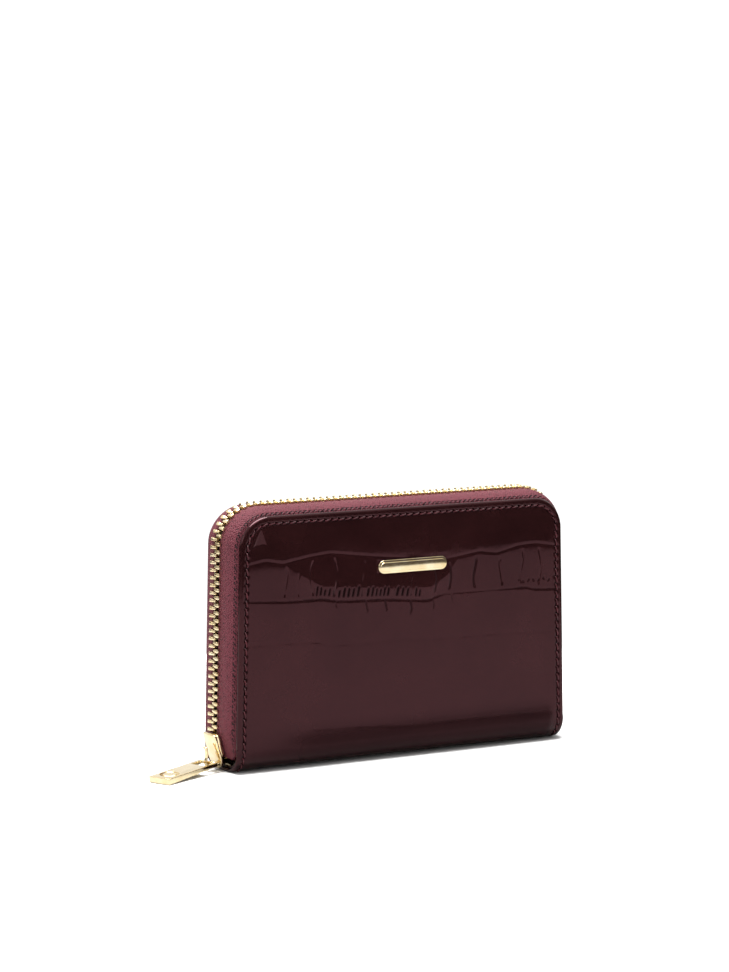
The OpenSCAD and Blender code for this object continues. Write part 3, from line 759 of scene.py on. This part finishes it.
def leather_skin(side):
    """Closed skin of one cover's leather: the outside, the rounded edge and the inside."""
    x, h, n_low = leather_grid()
    relief, pit_shade = leather_relief(x, h, side)
    grid = surface(x, h, side, relief).reshape(-1, 3)
    flat_lay = np.stack([x, h, np.full_like(x, LAY_APART * side)], axis=-1).reshape(-1, 3)
    rows, cols = x.shape
    faces = grid_faces(rows, cols)
    # boundary from the left end of the spine over the top to the right end
    loop = [(r, 0) for r in range(rows)] + [(rows - 1, c) for c in range(1, cols)]
    loop += [(r, cols - 1) for r in range(rows - 2, -1, -1)]
    count = len(loop)
    profile = [(math.sin(a), (1 - math.cos(a)) / 2) for a in np.linspace(0, math.pi, 11)[1:]]
    profile.append((-SKIN_TURN_IN, 1.0))
    rim = np.zeros((len(profile), count, 3))
    rim_lay = np.zeros_like(rim)
    for i, (r, c) in enumerate(loop):
        hh, xx = h[r, c], x[r, c]
        way = edge_way(xx, hh, r, n_low, rows)
        depth = edge_thickness(hh)
        for k, (out, down) in enumerate(profile):
            step = out * EDGE_R if out >= 0 else out
            rim[k, i] = surface(xx + way[0] * step, hh + way[1] * step, side, -down * depth)
            rim_lay[k, i] = (xx + way[0] * (step + down), hh + way[1] * (step + down), LAY_APART * side)
    verts = np.vstack([grid, rim.reshape(-1, 3)])
    lay = np.vstack([flat_lay, rim_lay.reshape(-1, 3)])

    def index(k, i):
        return loop[i][0] * cols + loop[i][1] if k < 0 else len(grid) + k * count + i

    last = len(profile) - 1
    for k in range(-1, last):
        for i in range(count - 1):
            faces.append((index(k, i), index(k, i + 1), index(k + 1, i + 1), index(k + 1, i)))
    # inside: one band per row between the two sides, and the top strip
    for r in range(rows - 1):
        left, right = r, count - 1 - r
        faces.append((index(last, left), index(last, left + 1), index(last, right - 1), index(last, right)))
    faces.append(tuple(index(last, i) for i in range(rows - 1, rows - 1 + cols)))
    # middle of the spine, where the two covers' leather meets
    closing = list(range(cols)) + [index(k, count - 1) for k in range(last + 1)]
    closing += [index(k, 0) for k in range(last, -1, -1)]
    faces.append(tuple(closing))
    name = cover_name(side)
    skin = add_mesh("leather_" + name, verts, faces, PATENT, lay, sharp=60)
    pit_shades = np.zeros(len(skin.data.vertices))
    pit_shades[:pit_shade.size] = pit_shade.ravel()
    # the painted shade mask goes to the leather's material as a point attribute
    skin.data.attributes.new("pit_shade", "FLOAT", "POINT").data.foreach_set("value", pit_shades)
    nodes = [name + "_leather", name + "_spine_fold"] + (["spine_leather"] if side == FRONT else [])
    return bend(skin, side, "patent_leather", *nodes)


def stitching(side):
    """Thread lying between the needle holes, each stitch slightly aslant."""
    around, rings = 8, 9
    u = np.linspace(-1, 1, rings)
    radius = STITCH_R * (1 - 0.35 * np.abs(u) ** 3)[:, None]
    low_s = (STITCH_LOW - STITCH_Z0) / math.cos(LEAN)
    first = math.ceil(low_s / STITCH_PITCH)
    count = math.floor((STITCH_TOTAL - 2 * low_s) / STITCH_PITCH) - 1
    stitches, lay = [], []
    for k in range(first, first + count):
        mid = (k + 0.5) * STITCH_PITCH
        centre = []
        for v in u:
            x, h, way = stitch_place(mid + v * STITCH_PITCH * STITCH_SHARE / 2)
            aslant = 0.27 * v
            lift = 0.17 - 0.5 * abs(v) ** 4
            centre.append((x - aslant * math.sin(way), h + aslant * math.cos(way), lift))
        x, h, lift = np.transpose(centre)
        line = surface(x, h, side, lift)
        along = unit(np.gradient(line, axis=0))
        sideways = unit(np.cross(along, surface(x, h, side, lift + 1) - line))
        outward = np.cross(sideways, along)
        stitches.append(tube(np.stack([
            line + radius * (math.cos(a) * sideways + math.sin(a) * outward * 0.85)
            for a in circle(around)], axis=1)))
        turn = np.repeat(mid + u * 1.2, around) + np.tile(np.arange(around) * 0.09, rings)
        lay.append(np.stack([turn, np.full_like(turn, k), np.zeros_like(turn)], axis=-1))
    name = cover_name(side)
    ob = add_mesh("stitches_" + name, *join_parts(stitches), THREAD, np.vstack(lay))
    return bend(ob, side, "thread", name + "_stitching")


# ---- Main zip ----
TAPE_LOW = 4.8                 # height of the tape's lower ends
TAPE_HALF_T = 0.22
TAPE_REACH = 5.96              # how far from the fold's centre line they may reach


def zip_tape(side):
    """Tape from under the leather edge to the teeth, arched, its lower left end bent inwards."""
    mid = spline([(-4.4, 9.94), (-2, 9.94), (-0.5, 9.9), (0.6, 9.4), (1.35, 8.35), (1.95, 6.95),
                  (2.25, 5.4), (2.32, 3.6), (CHAIN_OUT, 1.85)], 30)
    along = unit(np.gradient(mid, axis=0))
    normal = np.stack([along[:, 1], -along[:, 0]], axis=1)
    cross = np.vstack([mid + TAPE_HALF_T * normal, (mid - TAPE_HALF_T * normal)[::-1]])
    reach = np.concatenate([[0], np.cumsum(np.linalg.norm(np.diff(mid, axis=0), axis=1))])
    reach = np.concatenate([reach, reach[::-1]])
    rings, lay = [], []
    for s in np.linspace(0, path_len(0, TAPE_LOW), 330):
        x, z, way = path_at(s, 0, TAPE_LOW)
        out = (-math.sin(way), math.cos(way))
        # below the fold's centre line the tape stays inside the fold's hollow
        sunk = max(FOLD_R - z, 0.0)
        room = FLAT + math.sqrt((TAPE_REACH - 0.09 * sunk) ** 2 - sunk ** 2)
        depth = np.minimum(cross[:, 1], room) if sunk else cross[:, 1]
        drop = max(SLIDER_TOP_Z - z, 0) if x < 0 else 0
        shift = drop * math.tan(SLIDER_TILT + LEAN) * np.clip(cross[:, 0] / CHAIN_OUT, 0, 1)
        n = cross[:, 0] - shift
        rings.append(np.stack([x + n * out[0], side * depth, z + n * out[1]], axis=1))
        lay.append(np.stack([np.full(len(cross), s), reach, np.zeros(len(cross))], axis=1))
    name = cover_name(side)
    ob = add_mesh("zip_tape_" + name, *tube(rings), TAPE, np.vstack(lay), sharp=50)
    return ride(ob, half_body(side), "zip_tape", name + "_zip_tape", name + "_zip_bead")


def tooth_outline(half_n, mesh, slot_d, outer_d):
    """Section of a tooth in [outwards, depth]: two legs round the tape and a rounded head."""
    head, slot = half_n * 0.74, 0.3
    half = [(slot, slot_d), (slot, outer_d), (half_n - 0.35, outer_d), (half_n, outer_d - 0.35),
            (half_n, slot_d - 0.45), (head, slot_d - 0.9), (head, 0.1 - mesh), (head - 0.25, -mesh)]
    ring = [(-n, d) for n, d in half] + half[::-1]
    return ring[3:] + ring[:3]


def chain_frame(s):
    """(x, z, direction) on the main chain at length s, its lower end bent with the slider."""
    if s >= CHAIN_S0:
        return path_at(s, CHAIN_OUT, FOLD_R)
    way = math.pi / 2 + SLIDER_TILT
    back = s - CHAIN_S0 - TAIL_GAP
    return SLIDER_X + back * math.cos(way), SLIDER_Z + back * math.sin(way), way


def on_chain(part, s, side):
    """Moves a part drawn as [outwards, depth, along] to the chain at length s."""
    verts, faces = part
    x, z, way = chain_frame(s)
    n, d, a = verts[:, 0], verts[:, 1], verts[:, 2]
    return np.stack([x + a * math.cos(way) - n * math.sin(way), side * d,
                     z + a * math.sin(way) + n * math.cos(way)], axis=1), faces


def zip_teeth(side):
    """One row of teeth with its end stops, half a pitch along from the other cover's row."""
    shift = 0.0 if side == FRONT else 0.5
    start = CHAIN_S0 - TAIL_L
    count = math.floor((CHAIN_L - STOP_L - 0.3 - start) / TOOTH_PITCH - 0.5)
    tooth = slab(tooth_outline(1.35, 0.45, 1.7, 3.1), -TOOTH_T / 2, TOOTH_T / 2, 0.17, 2)
    # the head narrows towards the middle plane
    depth = np.clip((tooth[0][:, 1] - 0.2) / 2.0, 0, 1)
    tooth[0][:, 2] *= 0.80 + 0.28 * depth
    stop = slab(tooth_outline(1.45, -0.1, 1.7, 3.1), 0, STOP_L, 0.2, 2)
    parts = [on_chain(tooth, start + (i + 0.5 + shift) * TOOTH_PITCH, side) for i in range(count)]
    parts += [on_chain(stop, s, side) for s in (start - STOP_L, CHAIN_L - STOP_L - 0.1)]
    name = cover_name(side)
    ob = add_mesh("zip_teeth_" + name, *join_parts(parts), GOLD_TEETH, sharp=35)
    return ride(ob, half_body(side), "gold_metal", name + "_zip_teeth")


# ---- Main slider ----
# Slider frame: (out, across, along), along measured up from the slider's lower end
SLIDER_L, SLIDER_W, SLIDER_TAIL, SLIDER_GAP, PLATE_T = 12.4, 4.6, 4.5, 1.7, 0.9
SLIDER_OUT = SLIDER_GAP + PLATE_T


def on_slider(out, across, along):
    """Points of the slider frame in the wallet's."""
    c, s = math.cos(SLIDER_TILT), math.sin(SLIDER_TILT)
    return np.stack([SLIDER_X - out * c + (SLIDER_L - along) * s, -across,
                     SLIDER_Z - out * s - (SLIDER_L - along) * c], axis=-1)


def upright(part):
    """A slab drawn as [across, along, out] in the slider's place."""
    verts, faces = part
    return on_slider(verts[:, 2], verts[:, 0], verts[:, 1]), faces


def plate_outline():
    """Round nose, a slight waist and a tail with round corners, seen from outside."""
    nose, tail, length = SLIDER_W, SLIDER_TAIL, SLIDER_L
    ring = [(nose * math.cos(a), nose + nose * math.sin(a)) for a in np.linspace(math.pi, 2 * math.pi, 25)]
    ring += [(nose * 0.93, length * 0.58), (tail, length - 0.9), (tail - 0.25, length - 0.25),
             (tail - 0.9, length)]
    return ring + [(-x, y) for x, y in ring[:24:-1]]


def slider_body():
    """Two crowned plates, their turned-in rims, and the wedge that joins them at the nose."""
    parts = []
    for way in (1, -1):
        low, high = sorted((way * SLIDER_GAP, way * SLIDER_OUT))
        plate, faces = slab(plate_outline(), low, high, 0.28, 4)
        crown = np.clip(1 - (plate[:, 0] / SLIDER_W) ** 2, 0, 1)
        plate[:, 2] += way * 0.22 * crown * np.clip((plate[:, 2] * way - SLIDER_GAP) / PLATE_T, 0, 1)
        parts.append((plate, faces))
    rim = [(3.85, 4.8), (4.45, 4.8), (4.4, SLIDER_L - 0.5), (3.85, SLIDER_L - 0.3)]
    for side in (-1, 1):
        for low, high in ((0.75, SLIDER_GAP + 0.1), (-SLIDER_GAP - 0.1, -0.75)):
            parts.append(slab([(side * x, y) for x, y in rim], low, high, 0.2))
    wedge = [(-1.0, 0.8), (1.0, 0.8), (1.3, 2.4), (0.3, 4.5), (-0.3, 4.5), (-1.3, 2.4)]
    parts.append(slab(wedge, -SLIDER_OUT + 0.2, SLIDER_OUT - 0.2, 0.15, 2))
    ob = add_mesh("slider_body", *join_parts([upright(p) for p in parts]), GOLD, sharp=35)
    return ride(ob, "main_slider", "gold_metal", "main_slider_body")


def bar_section(count, flat, wide, power=3.2):
    """Points of a rounded rectangle."""
    c, s = np.cos(circle(count)), np.sin(circle(count))
    return flat * np.sign(c) * np.abs(c) ** (2 / power), wide * np.sign(s) * np.abs(s) ** (2 / power)


def slider_hook():
    """Curved hook, fixed at the slider's low end, with a knob at its free upper end."""
    line = spline([(2.3, 1.65), (3.4, 1.62), (4.6, 1.62), (5.7, 1.85), (6.25, 2.75), (6.05, 3.85),
                   (5.55, 4.8), (5.15, 5.9), (4.95, 7.1), (4.95, 8.0), (5.05, 8.6)], 46)
    way = unit(np.gradient(line, axis=0))
    flat, wide = bar_section(20, 0.42, 0.88)
    rings = []
    for i, (p, w) in enumerate(zip(line, way)):
        t = i / (len(line) - 1)
        size = 1 + 0.45 * math.exp(-((t - 0.94) / 0.06) ** 2) + 0.35 * math.exp(-(t / 0.05) ** 2)
        if t > 0.985:
            size *= 0.72
        normal = (w[1], -w[0])
        rings.append(on_slider(p[0] + flat * size * normal[0], wide * (1 + (size - 1) * 0.4),
                               p[1] + flat * size * normal[1]))
    ob = add_mesh("slider_hook", *tube(rings), GOLD, sharp=50)
    return ride(ob, "main_slider", "gold_metal", "main_slider_crown")


PULL_L, PULL_W, PULL_T, PULL_BAR_R = 26.3, 8.7, 2.1, 0.6
PULL_YAW = math.radians(24.5)
PULL_BAR = on_slider(SLIDER_OUT + 2.5, 0.0, 2.9)
PULL_PITCH = math.asin((PULL_BAR[2] - PULL_T / 2 - 0.1) / PULL_L)
RING_R = 3.3


def sink_ring(solid):
    """Cuts a plain round groove into the pull tab's face near its tip."""
    x0 = PULL_L - RING_R - 2.2
    section = [(RING_R, 2.0), (RING_R, 0.62), (RING_R - 0.14, 0.5), (RING_R - 0.86, 0.5),
               (RING_R - 1.0, 0.62), (RING_R - 1.0, 2.0)]
    steps, sides = 64, len(section)
    verts = [(x0 + r * math.cos(a), r * math.sin(a), z) for a in circle(steps) for r, z in section]
    faces = []
    for i in range(steps):
        here, after = i * sides, (i + 1) % steps * sides
        faces += [(here + j, here + (j + 1) % sides, after + (j + 1) % sides, after + j)
                  for j in range(sides)]
    cutter = add_mesh("ring_cutter", verts, faces, GOLD)
    cut = solid.modifiers.new("ring", "BOOLEAN")
    cut.object, cut.operation, cut.solver = cutter, "DIFFERENCE", "EXACT"
    graph = bpy.context.evaluated_depsgraph_get()
    mesh = bpy.data.meshes.new_from_object(solid.evaluated_get(graph), depsgraph=graph)
    solid.modifiers.clear()
    solid.data = mesh
    mesh.polygons.foreach_set("use_smooth", [True] * len(mesh.polygons))
    mesh.set_sharp_from_angle(angle=math.radians(30))
    bpy.data.objects.remove(cutter)


def pull_tab():
    """Wedge shaped tab with a window for the hook, and a plain sunk ring near its tip."""
    half, inner, window = PULL_W / 2, PULL_W / 2 - 1.5, 6.0
    outline = [(0.0, -half + 0.1), (PULL_L, -half), (PULL_L, half), (0.0, half - 0.1), (0.0, inner),
               (window, inner), (window, -inner), (0.0, -inner)]
    plate, plate_faces = slab(outline, -1.0, 1.0, 0.16)
    plate[:, 2] *= PULL_BAR_R + (PULL_T / 2 - PULL_BAR_R) * np.clip(plate[:, 0] / PULL_L, 0, 1)
    section = [(PULL_BAR_R * math.cos(a), PULL_BAR_R * math.sin(a)) for a in circle(24)]
    bar, bar_faces = slab(section, -half, half, 0.12, 2)
    parts = [(plate, plate_faces), (bar[:, [0, 2, 1]], bar_faces)]
    solid = add_mesh("pull_tab", *join_parts(parts), GOLD, sharp=30)
    sink_ring(solid)
    turn = Matrix.Rotation(math.pi + PULL_YAW, 4, "Z") @ Matrix.Rotation(PULL_PITCH, 4, "Y")
    solid.data.transform(Matrix.Translation(Vector(PULL_BAR) * MM) @ turn)
    return ride(solid, "main_pull", "gold_metal", "main_pull_tab")


# ---- Name bar ----
BAR_X, BAR_Z, BAR_W, BAR_H, BAR_T = 2.4, 66.2, 27.0, 4.6, 1.0


def name_bar():
    """Plain polished bar with round ends and a fine raised border."""
    def stadium(w, h):
        r = h / 2
        ends = []
        for side, mid in ((1, 0.0), (-1, math.pi)):
            ends += [(side * (w / 2 - r) + r * math.cos(mid + a), r * math.sin(mid + a))
                     for a in np.linspace(-math.pi / 2, math.pi / 2, 17)]
        return ends

    base = slab(stadium(BAR_W, BAR_H), FACE - 0.35, FACE + BAR_T - 0.22, 0.22, 3)
    field = slab(stadium(BAR_W - 1.5, BAR_H - 1.5), FACE + 0.3, FACE + BAR_T, 0.3, 4)
    verts, faces = join_parts([base, field])
    place = np.stack([verts[:, 0] + BAR_X, -verts[:, 2], verts[:, 1] + BAR_Z], axis=1)
    ob = add_mesh("name_bar", place, faces, GOLD, sharp=35)
    return ride(ob, "front_half", "gold_metal", "badge_plate")


# ---- Soft sheets inside ----
def sheet_solid(xs, zs, half_w, place, thick, edge_r=0.6, relief=None):
    """(verts, faces, lay) of a closed thin sheet with rounded edges. place(x, z, d) -> point."""
    x = np.array([np.array(xs) * half_w(z) for z in zs])
    z = np.repeat(np.array(zs)[:, None], x.shape[1], axis=1)
    near = np.minimum(np.minimum(z - zs[0], zs[-1] - z), x[:, -1:] - np.abs(x))
    share = np.sqrt(np.clip(1 - (1 - np.clip(near / edge_r, 0, 1)) ** 2, 0.0025, 1))
    bump = 0 if relief is None else relief(x, z)
    depths = (thick / 2 * share, bump * share - thick / 2 * share)
    shell = [place(x, z, depth).reshape(-1, 3) for depth in depths]
    lay = np.stack([x, np.zeros_like(x), z], axis=-1).reshape(-1, 3)
    return np.vstack(shell), shell_faces(*x.shape), np.vstack([lay, lay])


def edged(low, high, step, fine=0.15, band=1.2):
    """Positions from low to high, closer together near both ends."""
    inner = np.linspace(low + band, high - band, max(2, int((high - low - 2 * band) / step)))
    last = np.arange(high, high - band, -fine)[::-1]
    return np.concatenate([np.arange(low, low + band, fine), inner, last])


def flat_sheet(name, side, x_half, zs, depth, thick, material, relief=None):
    """A sheet parallel to a cover whose middle lies at the given depth."""
    def place(x, z, d):
        return np.stack([x, side * (depth + d), z], axis=-1)

    reference = x_half(zs[len(zs) // 2])
    xs = edged(-reference, reference, 2.0) / reference
    verts, faces, lay = sheet_solid(xs, zs, x_half, place, thick, relief=relief)
    return add_mesh(name, verts, faces, material, lay, sharp=50)


def slip_relief(top):
    """Turned edge and stitch line near the top of a card slip. Negative is towards the cards."""
    def relief(x, z):
        from_top = top - z
        fold = -0.05 * smooth_step((2.6 - from_top) / 0.3)
        seam = 0.07 * groove(from_top - 1.7, 0.22)
        nick = 0.05 * groove(from_top - 1.7, 0.3) * (0.5 + 0.5 * np.cos(2 * math.pi * x / 2.2))
        return fold + seam + nick
    return relief


def inside_of_cover(side):
    """The cover's cloth panel and the four card slips stepped over it."""
    name = cover_name(side)
    body = half_body(side)

    def panel_half(z):
        if z <= CORNER_Z:
            return side_x(z, -1.0)
        return CORNER_X + math.sqrt(max((CORNER_R - 1.0) ** 2 - (z - CORNER_Z) ** 2, 0.0))

    polar = np.linspace(0, math.pi / 2, 16)[1:]
    zs = np.concatenate([edged(10.1, CORNER_Z, 2.0)[:-8], CORNER_Z + 9.95 * np.sin(polar)])
    panel = flat_sheet(name + "_panel_lining", side, panel_half, zs, PANEL_D + 0.25, 0.46, LINING)
    ride(panel, body, "lining", name + "_inner_panel")
    for k in range(1, 5):
        top = SLIP_TOP - (k - 1) * SLIP_STEP
        zs = edged(11.0, top, 2.0, band=3.0)
        slip = flat_sheet("{}_slip_{}".format(name, k), side, lambda z: SLIP_W / 2, zs,
                          PANEL_D - (k - 0.5) * SLIP_T, SLIP_T - 0.05, SLIP, slip_relief(top))
        ride(slip, body, "slip_leather", "{}_card_slip_{}".format(name, k))


def spine_lining(side):
    """Cloth inside the spine and the fold, its upper edge tucked behind the cover's panel."""
    half, top = 57.4, 10.4

    def place(x, h, d):
        return surface(x, h, side, d - edge_thickness(h) - 0.26)

    xs = edged(-half, half, 2.0) / half
    rows = edged(H_MIDDLE, top, 1.0, 0.2, 0.8)
    verts, faces, lay = sheet_solid(xs, rows, lambda h: half, place, 0.4, 0.3)
    ob = add_mesh("spine_lining_" + cover_name(side), verts, faces, LINING, lay, sharp=50)
    return bend(ob, side, "lining", *(["spine_lining"] if side == FRONT else []))


def gusset(x_side, side):
    """One V pleat between a card panel and the coin pocket, its top edge sagging at the fold."""
    fold_x, sag = 49.3, 2.2
    line = spline([(58.7, PANEL_D - 0.15), (56.6, PANEL_D - 0.75), (53.4, 7.5), (50.4, 6.4), (fold_x, 5.9),
                   (50.4, 5.3), (52.6, 4.4), (54.6, 3.4), (55.7, COIN_HALF + 0.35)], 34)
    way = unit(np.gradient(line, axis=0))
    low, high = FOLD_R + 1.2, COIN_Z - 4.0
    t_rows = edged(0.0, high - low, 2.0, 0.2, 1.0)[:, None] / (high - low)
    fold = np.exp(-((line[:, 0] - fold_x) / 3.0) ** 2)
    z = low + t_rows * (high - low) - sag * fold * t_rows ** 6
    ripple = 0.18 * np.sin(z * 0.35 + 2 * x_side)
    shells = []
    for offset in (0.2, -0.2):
        x = line[:, 0] + offset * way[:, 1]
        y = line[:, 1] - offset * way[:, 0]
        shells.append(np.stack([x_side * (x + ripple * fold), side * y + 0 * z, z], axis=-1).reshape(-1, 3))
    verts = np.concatenate(shells)
    lay = np.stack([verts[:, 1], verts[:, 0] * 0, verts[:, 2]], axis=1)
    label = end_name(x_side) + "_" + cover_name(side) + "_gusset"
    ob = add_mesh(label + "_cloth", verts, shell_faces(*z.shape), LINING, lay, sharp=60)
    stands_for([label])
    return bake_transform(ob)


def end_tab(x_side):
    """Stiff glossy leather strip that lines the open end of the spine and stands up inside
    the covers' folds."""
    turn = math.radians(50)
    length = FOLD_R - (math.pi / 2 - turn) * FOLD_R - H_MIDDLE
    outer_x, inner_x = 64.2, 57.6
    flat, wide = bar_section(20, 0.34, (outer_x - inner_x) / 2, 5)
    x = x_side * ((outer_x + inner_x) / 2 + wide)
    rings = []
    for t in np.linspace(-1, 1, 41):
        h = np.full_like(x, H_MIDDLE + abs(t) * length)
        taper = math.sqrt(max(1 - abs(t) ** 14, 0.03))
        rings.append(surface(x, h, FRONT if t < 0 else REAR, -THIN - 0.4 + flat * taper))
    name = end_name(x_side)
    ob = add_mesh(name + "_end_strip", *tube(rings), END_LEATHER, sharp=60)
    return ride(ob, "center", "patent_leather", name + "_end_tab")


# ---- Coin pocket ----
COIN_LOW = 3.1                 # lower edge of the pocket's cloth
COIN_TEETH, COIN_PITCH, COIN_TOOTH_HALF = 47, 2.0, 0.42
COIN_CHAIN_X = -44.0           # left end of the coin zip's teeth


def coin_walls():
    """The pocket's two cloth walls, fuller in the middle."""
    half = COIN_W / 2
    zs = edged(COIN_LOW, COIN_Z - 0.02, 2.0)
    for side in (FRONT, REAR):
        def place(x, z, d):
            rise = np.sin(math.pi * (z - COIN_LOW) / (COIN_Z - COIN_LOW))
            rise = 0.35 * np.cos(math.pi * x / COIN_W) * rise
            return np.stack([x, side * (COIN_HALF - 0.3 + rise + d), z], axis=-1)

        verts, faces, lay = sheet_solid(edged(-half, half, 2.0) / half, zs, lambda z: half, place, 0.52)
        name = cover_name(side)
        wall = add_mesh("coin_wall_" + name, verts, faces, LINING, lay, sharp=50)
        ride(wall, "center", "lining", "coin_pocket_" + name + "_wall")


def coin_seams():
    """Rounded side edges of the pocket, slimmer at both ends."""
    flat, wide = bar_section(16, 0.62, COIN_HALF - 0.62, 4)
    heights = edged(COIN_LOW, COIN_Z - 0.05, 3.0, 0.2, 0.8)
    share = np.ones(len(heights))
    share[[0, -1]] = 0.7
    seams = [tube([np.stack([x_side * (COIN_W / 2 - 0.7) + flat * s, wide, np.full(16, z)], axis=-1)
                   for s, z in zip(share, heights)]) for x_side in (-1, 1)]
    ob = add_mesh("coin_side_seams", *join_parts(seams), LINING, sharp=50)
    return ride(ob, "center", "lining", "coin_pocket_side_seams")


def coin_zip():
    """Straight zip along the pocket's mouth: two tapes and two rows of teeth."""
    depth, wide = bar_section(16, 0.18, 0.7, 5)
    xs = np.linspace(-COIN_W / 2 + 2, COIN_W / 2 - 2, 60)
    tapes, lay, teeth = [], [], []
    verts, faces = slab(tooth_outline(1.0, 0.3, 1.2, 1.9), -COIN_TOOTH_HALF, COIN_TOOTH_HALF, 0.12, 2)
    for row, side in enumerate((FRONT, REAR)):
        tapes.append(tube([np.stack([np.full(16, x), side * 1.98 + wide, COIN_Z + 0.21 + depth], axis=-1)
                           for x in xs]))
        lay.append(np.stack([np.repeat(xs, 16), np.tile(wide, len(xs)), np.zeros(16 * len(xs))], axis=-1))
        for i in range(COIN_TEETH):
            x = COIN_CHAIN_X + COIN_TOOTH_HALF + (i + row / 2) * COIN_PITCH
            place = np.stack([x + verts[:, 2], side * verts[:, 1], COIN_Z + 0.2 + verts[:, 0]], axis=-1)
            teeth.append((place, faces))
    tape = add_mesh("coin_zip_tape_pair", *join_parts(tapes), TAPE, np.vstack(lay), sharp=50)
    ride(tape, "center", "zip_tape", "coin_zip_tapes")
    rows = add_mesh("coin_teeth_rows", *join_parts(teeth), GOLD_TEETH, sharp=35)
    ride(rows, "center", "gold_metal", "coin_zip_teeth")


def paint(ob, material):
    ob.data.materials.clear()
    ob.data.materials.append(material)


def finish_cad_nodes():
    """Carried-over CAD nodes get their material, the coin zip's metal softened edges too."""
    for node in ("front_board", "rear_board"):
        paint(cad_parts[node], BOARD)
    for node in ("coin_zip_stops", "coin_slider_body", "coin_slider_crown", "coin_pull_tab"):
        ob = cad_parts[node]
        paint(ob, GOLD_CAD)
        weld = ob.modifiers.new("weld", "WELD")
        weld.merge_threshold = 0.000002
        soft = ob.modifiers.new("soft", "BEVEL")
        soft.width, soft.segments, soft.limit_method = 0.00014, 2, "ANGLE"
        soft.angle_limit = math.radians(40)


# ---- Studio ----
AMBIENT, BACKDROP = 0.62, 1.15  # strength of the light from all around, and of what is seen behind
KEY, SIDE = 40.0, 2.0           # watts of the lamp overhead and of the one at the left
LAMP_TARGET = (0, 0, 0.04)
# The floor's front edge sets where the front cover's reflection turns from the dark below
# to the plum above.
FLOOR_CORNERS = [(-550, -442.5, 0), (345, -442.5, 0), (250, 120, 0), (-200, 320, 0), (-550, 320, 0)]


def floor_sheet():
    """Pale floor. Polished surfaces see it darker, so that the gold keeps its colour."""
    n = Nodes("studio_floor")
    mottle = n.noise(n.place(3, False), detail=2)
    glossy = n.add("ShaderNodeLightPath").outputs["Is Glossy Ray"]
    color = n.mix(glossy, n.ramp(mottle, grey(0.90), grey(0.92)), grey(0.41))
    n.finish(color, Roughness=0.7, Specular_IOR_Level=0.0)
    faces = [tuple(range(len(FLOOR_CORNERS)))]
    sheet = add_mesh("studio_floor_sheet", FLOOR_CORNERS, faces, n.material, recalc=False)
    sheet.location.z = -0.00002


def surroundings():
    """White backdrop and soft light. What polished surfaces see is dark below and along the
    horizon, under a bright ceiling that comes lower behind the wallet than in front."""
    world = bpy.data.worlds.new("studio")
    bpy.context.scene.world = world
    world.use_nodes = True
    world.node_tree.nodes.clear()
    n = Graph(world.node_tree)

    def glow(color, strength):
        node = n.add("ShaderNodeBackground")
        n.feed(color, node.inputs["Color"])
        n.feed(strength, node.inputs["Strength"])
        return node.outputs[0]

    def choose(ray, no, yes):
        node = n.add("ShaderNodeMixShader")
        n.link(path[ray], node.inputs["Fac"])
        n.link(no, node.inputs[1])
        n.link(yes, node.inputs[2])
        return node.outputs[0]

    path = n.add("ShaderNodeLightPath").outputs
    way = n.axes(n.add("ShaderNodeTexCoord").outputs["Generated"])
    above = n.add("ShaderNodeMapRange", interpolation_type="SMOOTHSTEP")
    n.feed(0.2, above.inputs["From Max"])
    n.feed(0.42, above.inputs["To Max"])
    n.link(way["Z"], above.inputs["Value"])
    height = n.plus(way["Z"], way["Y"], above.outputs["Result"])
    shiny = glow(n.ramp(height, (0.09, 0.08, 0.08), (1.0, 0.99, 0.97), 0.08, 0.50), 1.0)
    light = choose("Is Glossy Ray", glow((1, 0.985, 0.97, 1), AMBIENT), shiny)
    seen = choose("Is Camera Ray", light, glow((1, 1, 1, 1), BACKDROP))
    n.link(seen, n.add("ShaderNodeOutputWorld").inputs["Surface"])


def lamp(name, place, size, watts):
    """Round area lamp turned towards the wallet."""
    data = bpy.data.lights.new(name, "AREA")
    data.shape = "DISK"
    data.size, data.energy = size, watts
    ob = bpy.data.objects.new(name, data)
    bpy.context.collection.objects.link(ob)
    ob.location = place
    ob.rotation_euler = (Vector(LAMP_TARGET) - Vector(place)).to_track_quat("-Z", "Y").to_euler()


def studio():
    floor_sheet()
    surroundings()
    lamp("key_overhead", (-0.10, 0.10, 1.10), 1.0, KEY)
    lamp("left_window", (-1.1, -0.25, 0.55), 0.5, SIDE)


def make_camera():
    """Long lens from the front left, a little above the wallet."""
    azimuth, elevation, distance = math.radians(-29.978), math.radians(6.402), 1.0726
    target = Vector((-0.012385, -0.0055, 0.093267))
    back = Vector((math.sin(azimuth) * math.cos(elevation), -math.cos(azimuth) * math.cos(elevation),
                   math.sin(elevation)))
    data = bpy.data.cameras.new("camera")
    data.sensor_width, data.sensor_fit, data.lens = 36.0, "AUTO", 117.373
    data.clip_start, data.clip_end = 0.05, 20.0
    camera = bpy.data.objects.new("camera", data)
    bpy.context.collection.objects.link(camera)
    camera.location = target + back * distance
    camera.rotation_mode = "QUATERNION"
    camera.rotation_quaternion = (-back).to_track_quat("-Z", "Y")
    bpy.context.scene.camera = camera


make_camera()
bpy.context.scene.view_settings.view_transform = "Standard"
studio()
for cover in (FRONT, REAR):
    leather_skin(cover)
    stitching(cover)
    zip_tape(cover)
    zip_teeth(cover)
    inside_of_cover(cover)
    spine_lining(cover)
    for end in (-1, 1):
        gusset(end, cover)
name_bar()
slider_body()
slider_hook()
pull_tab()
for end in (-1, 1):
    end_tab(end)
coin_walls()
coin_seams()
coin_zip()
finish_cad_nodes()
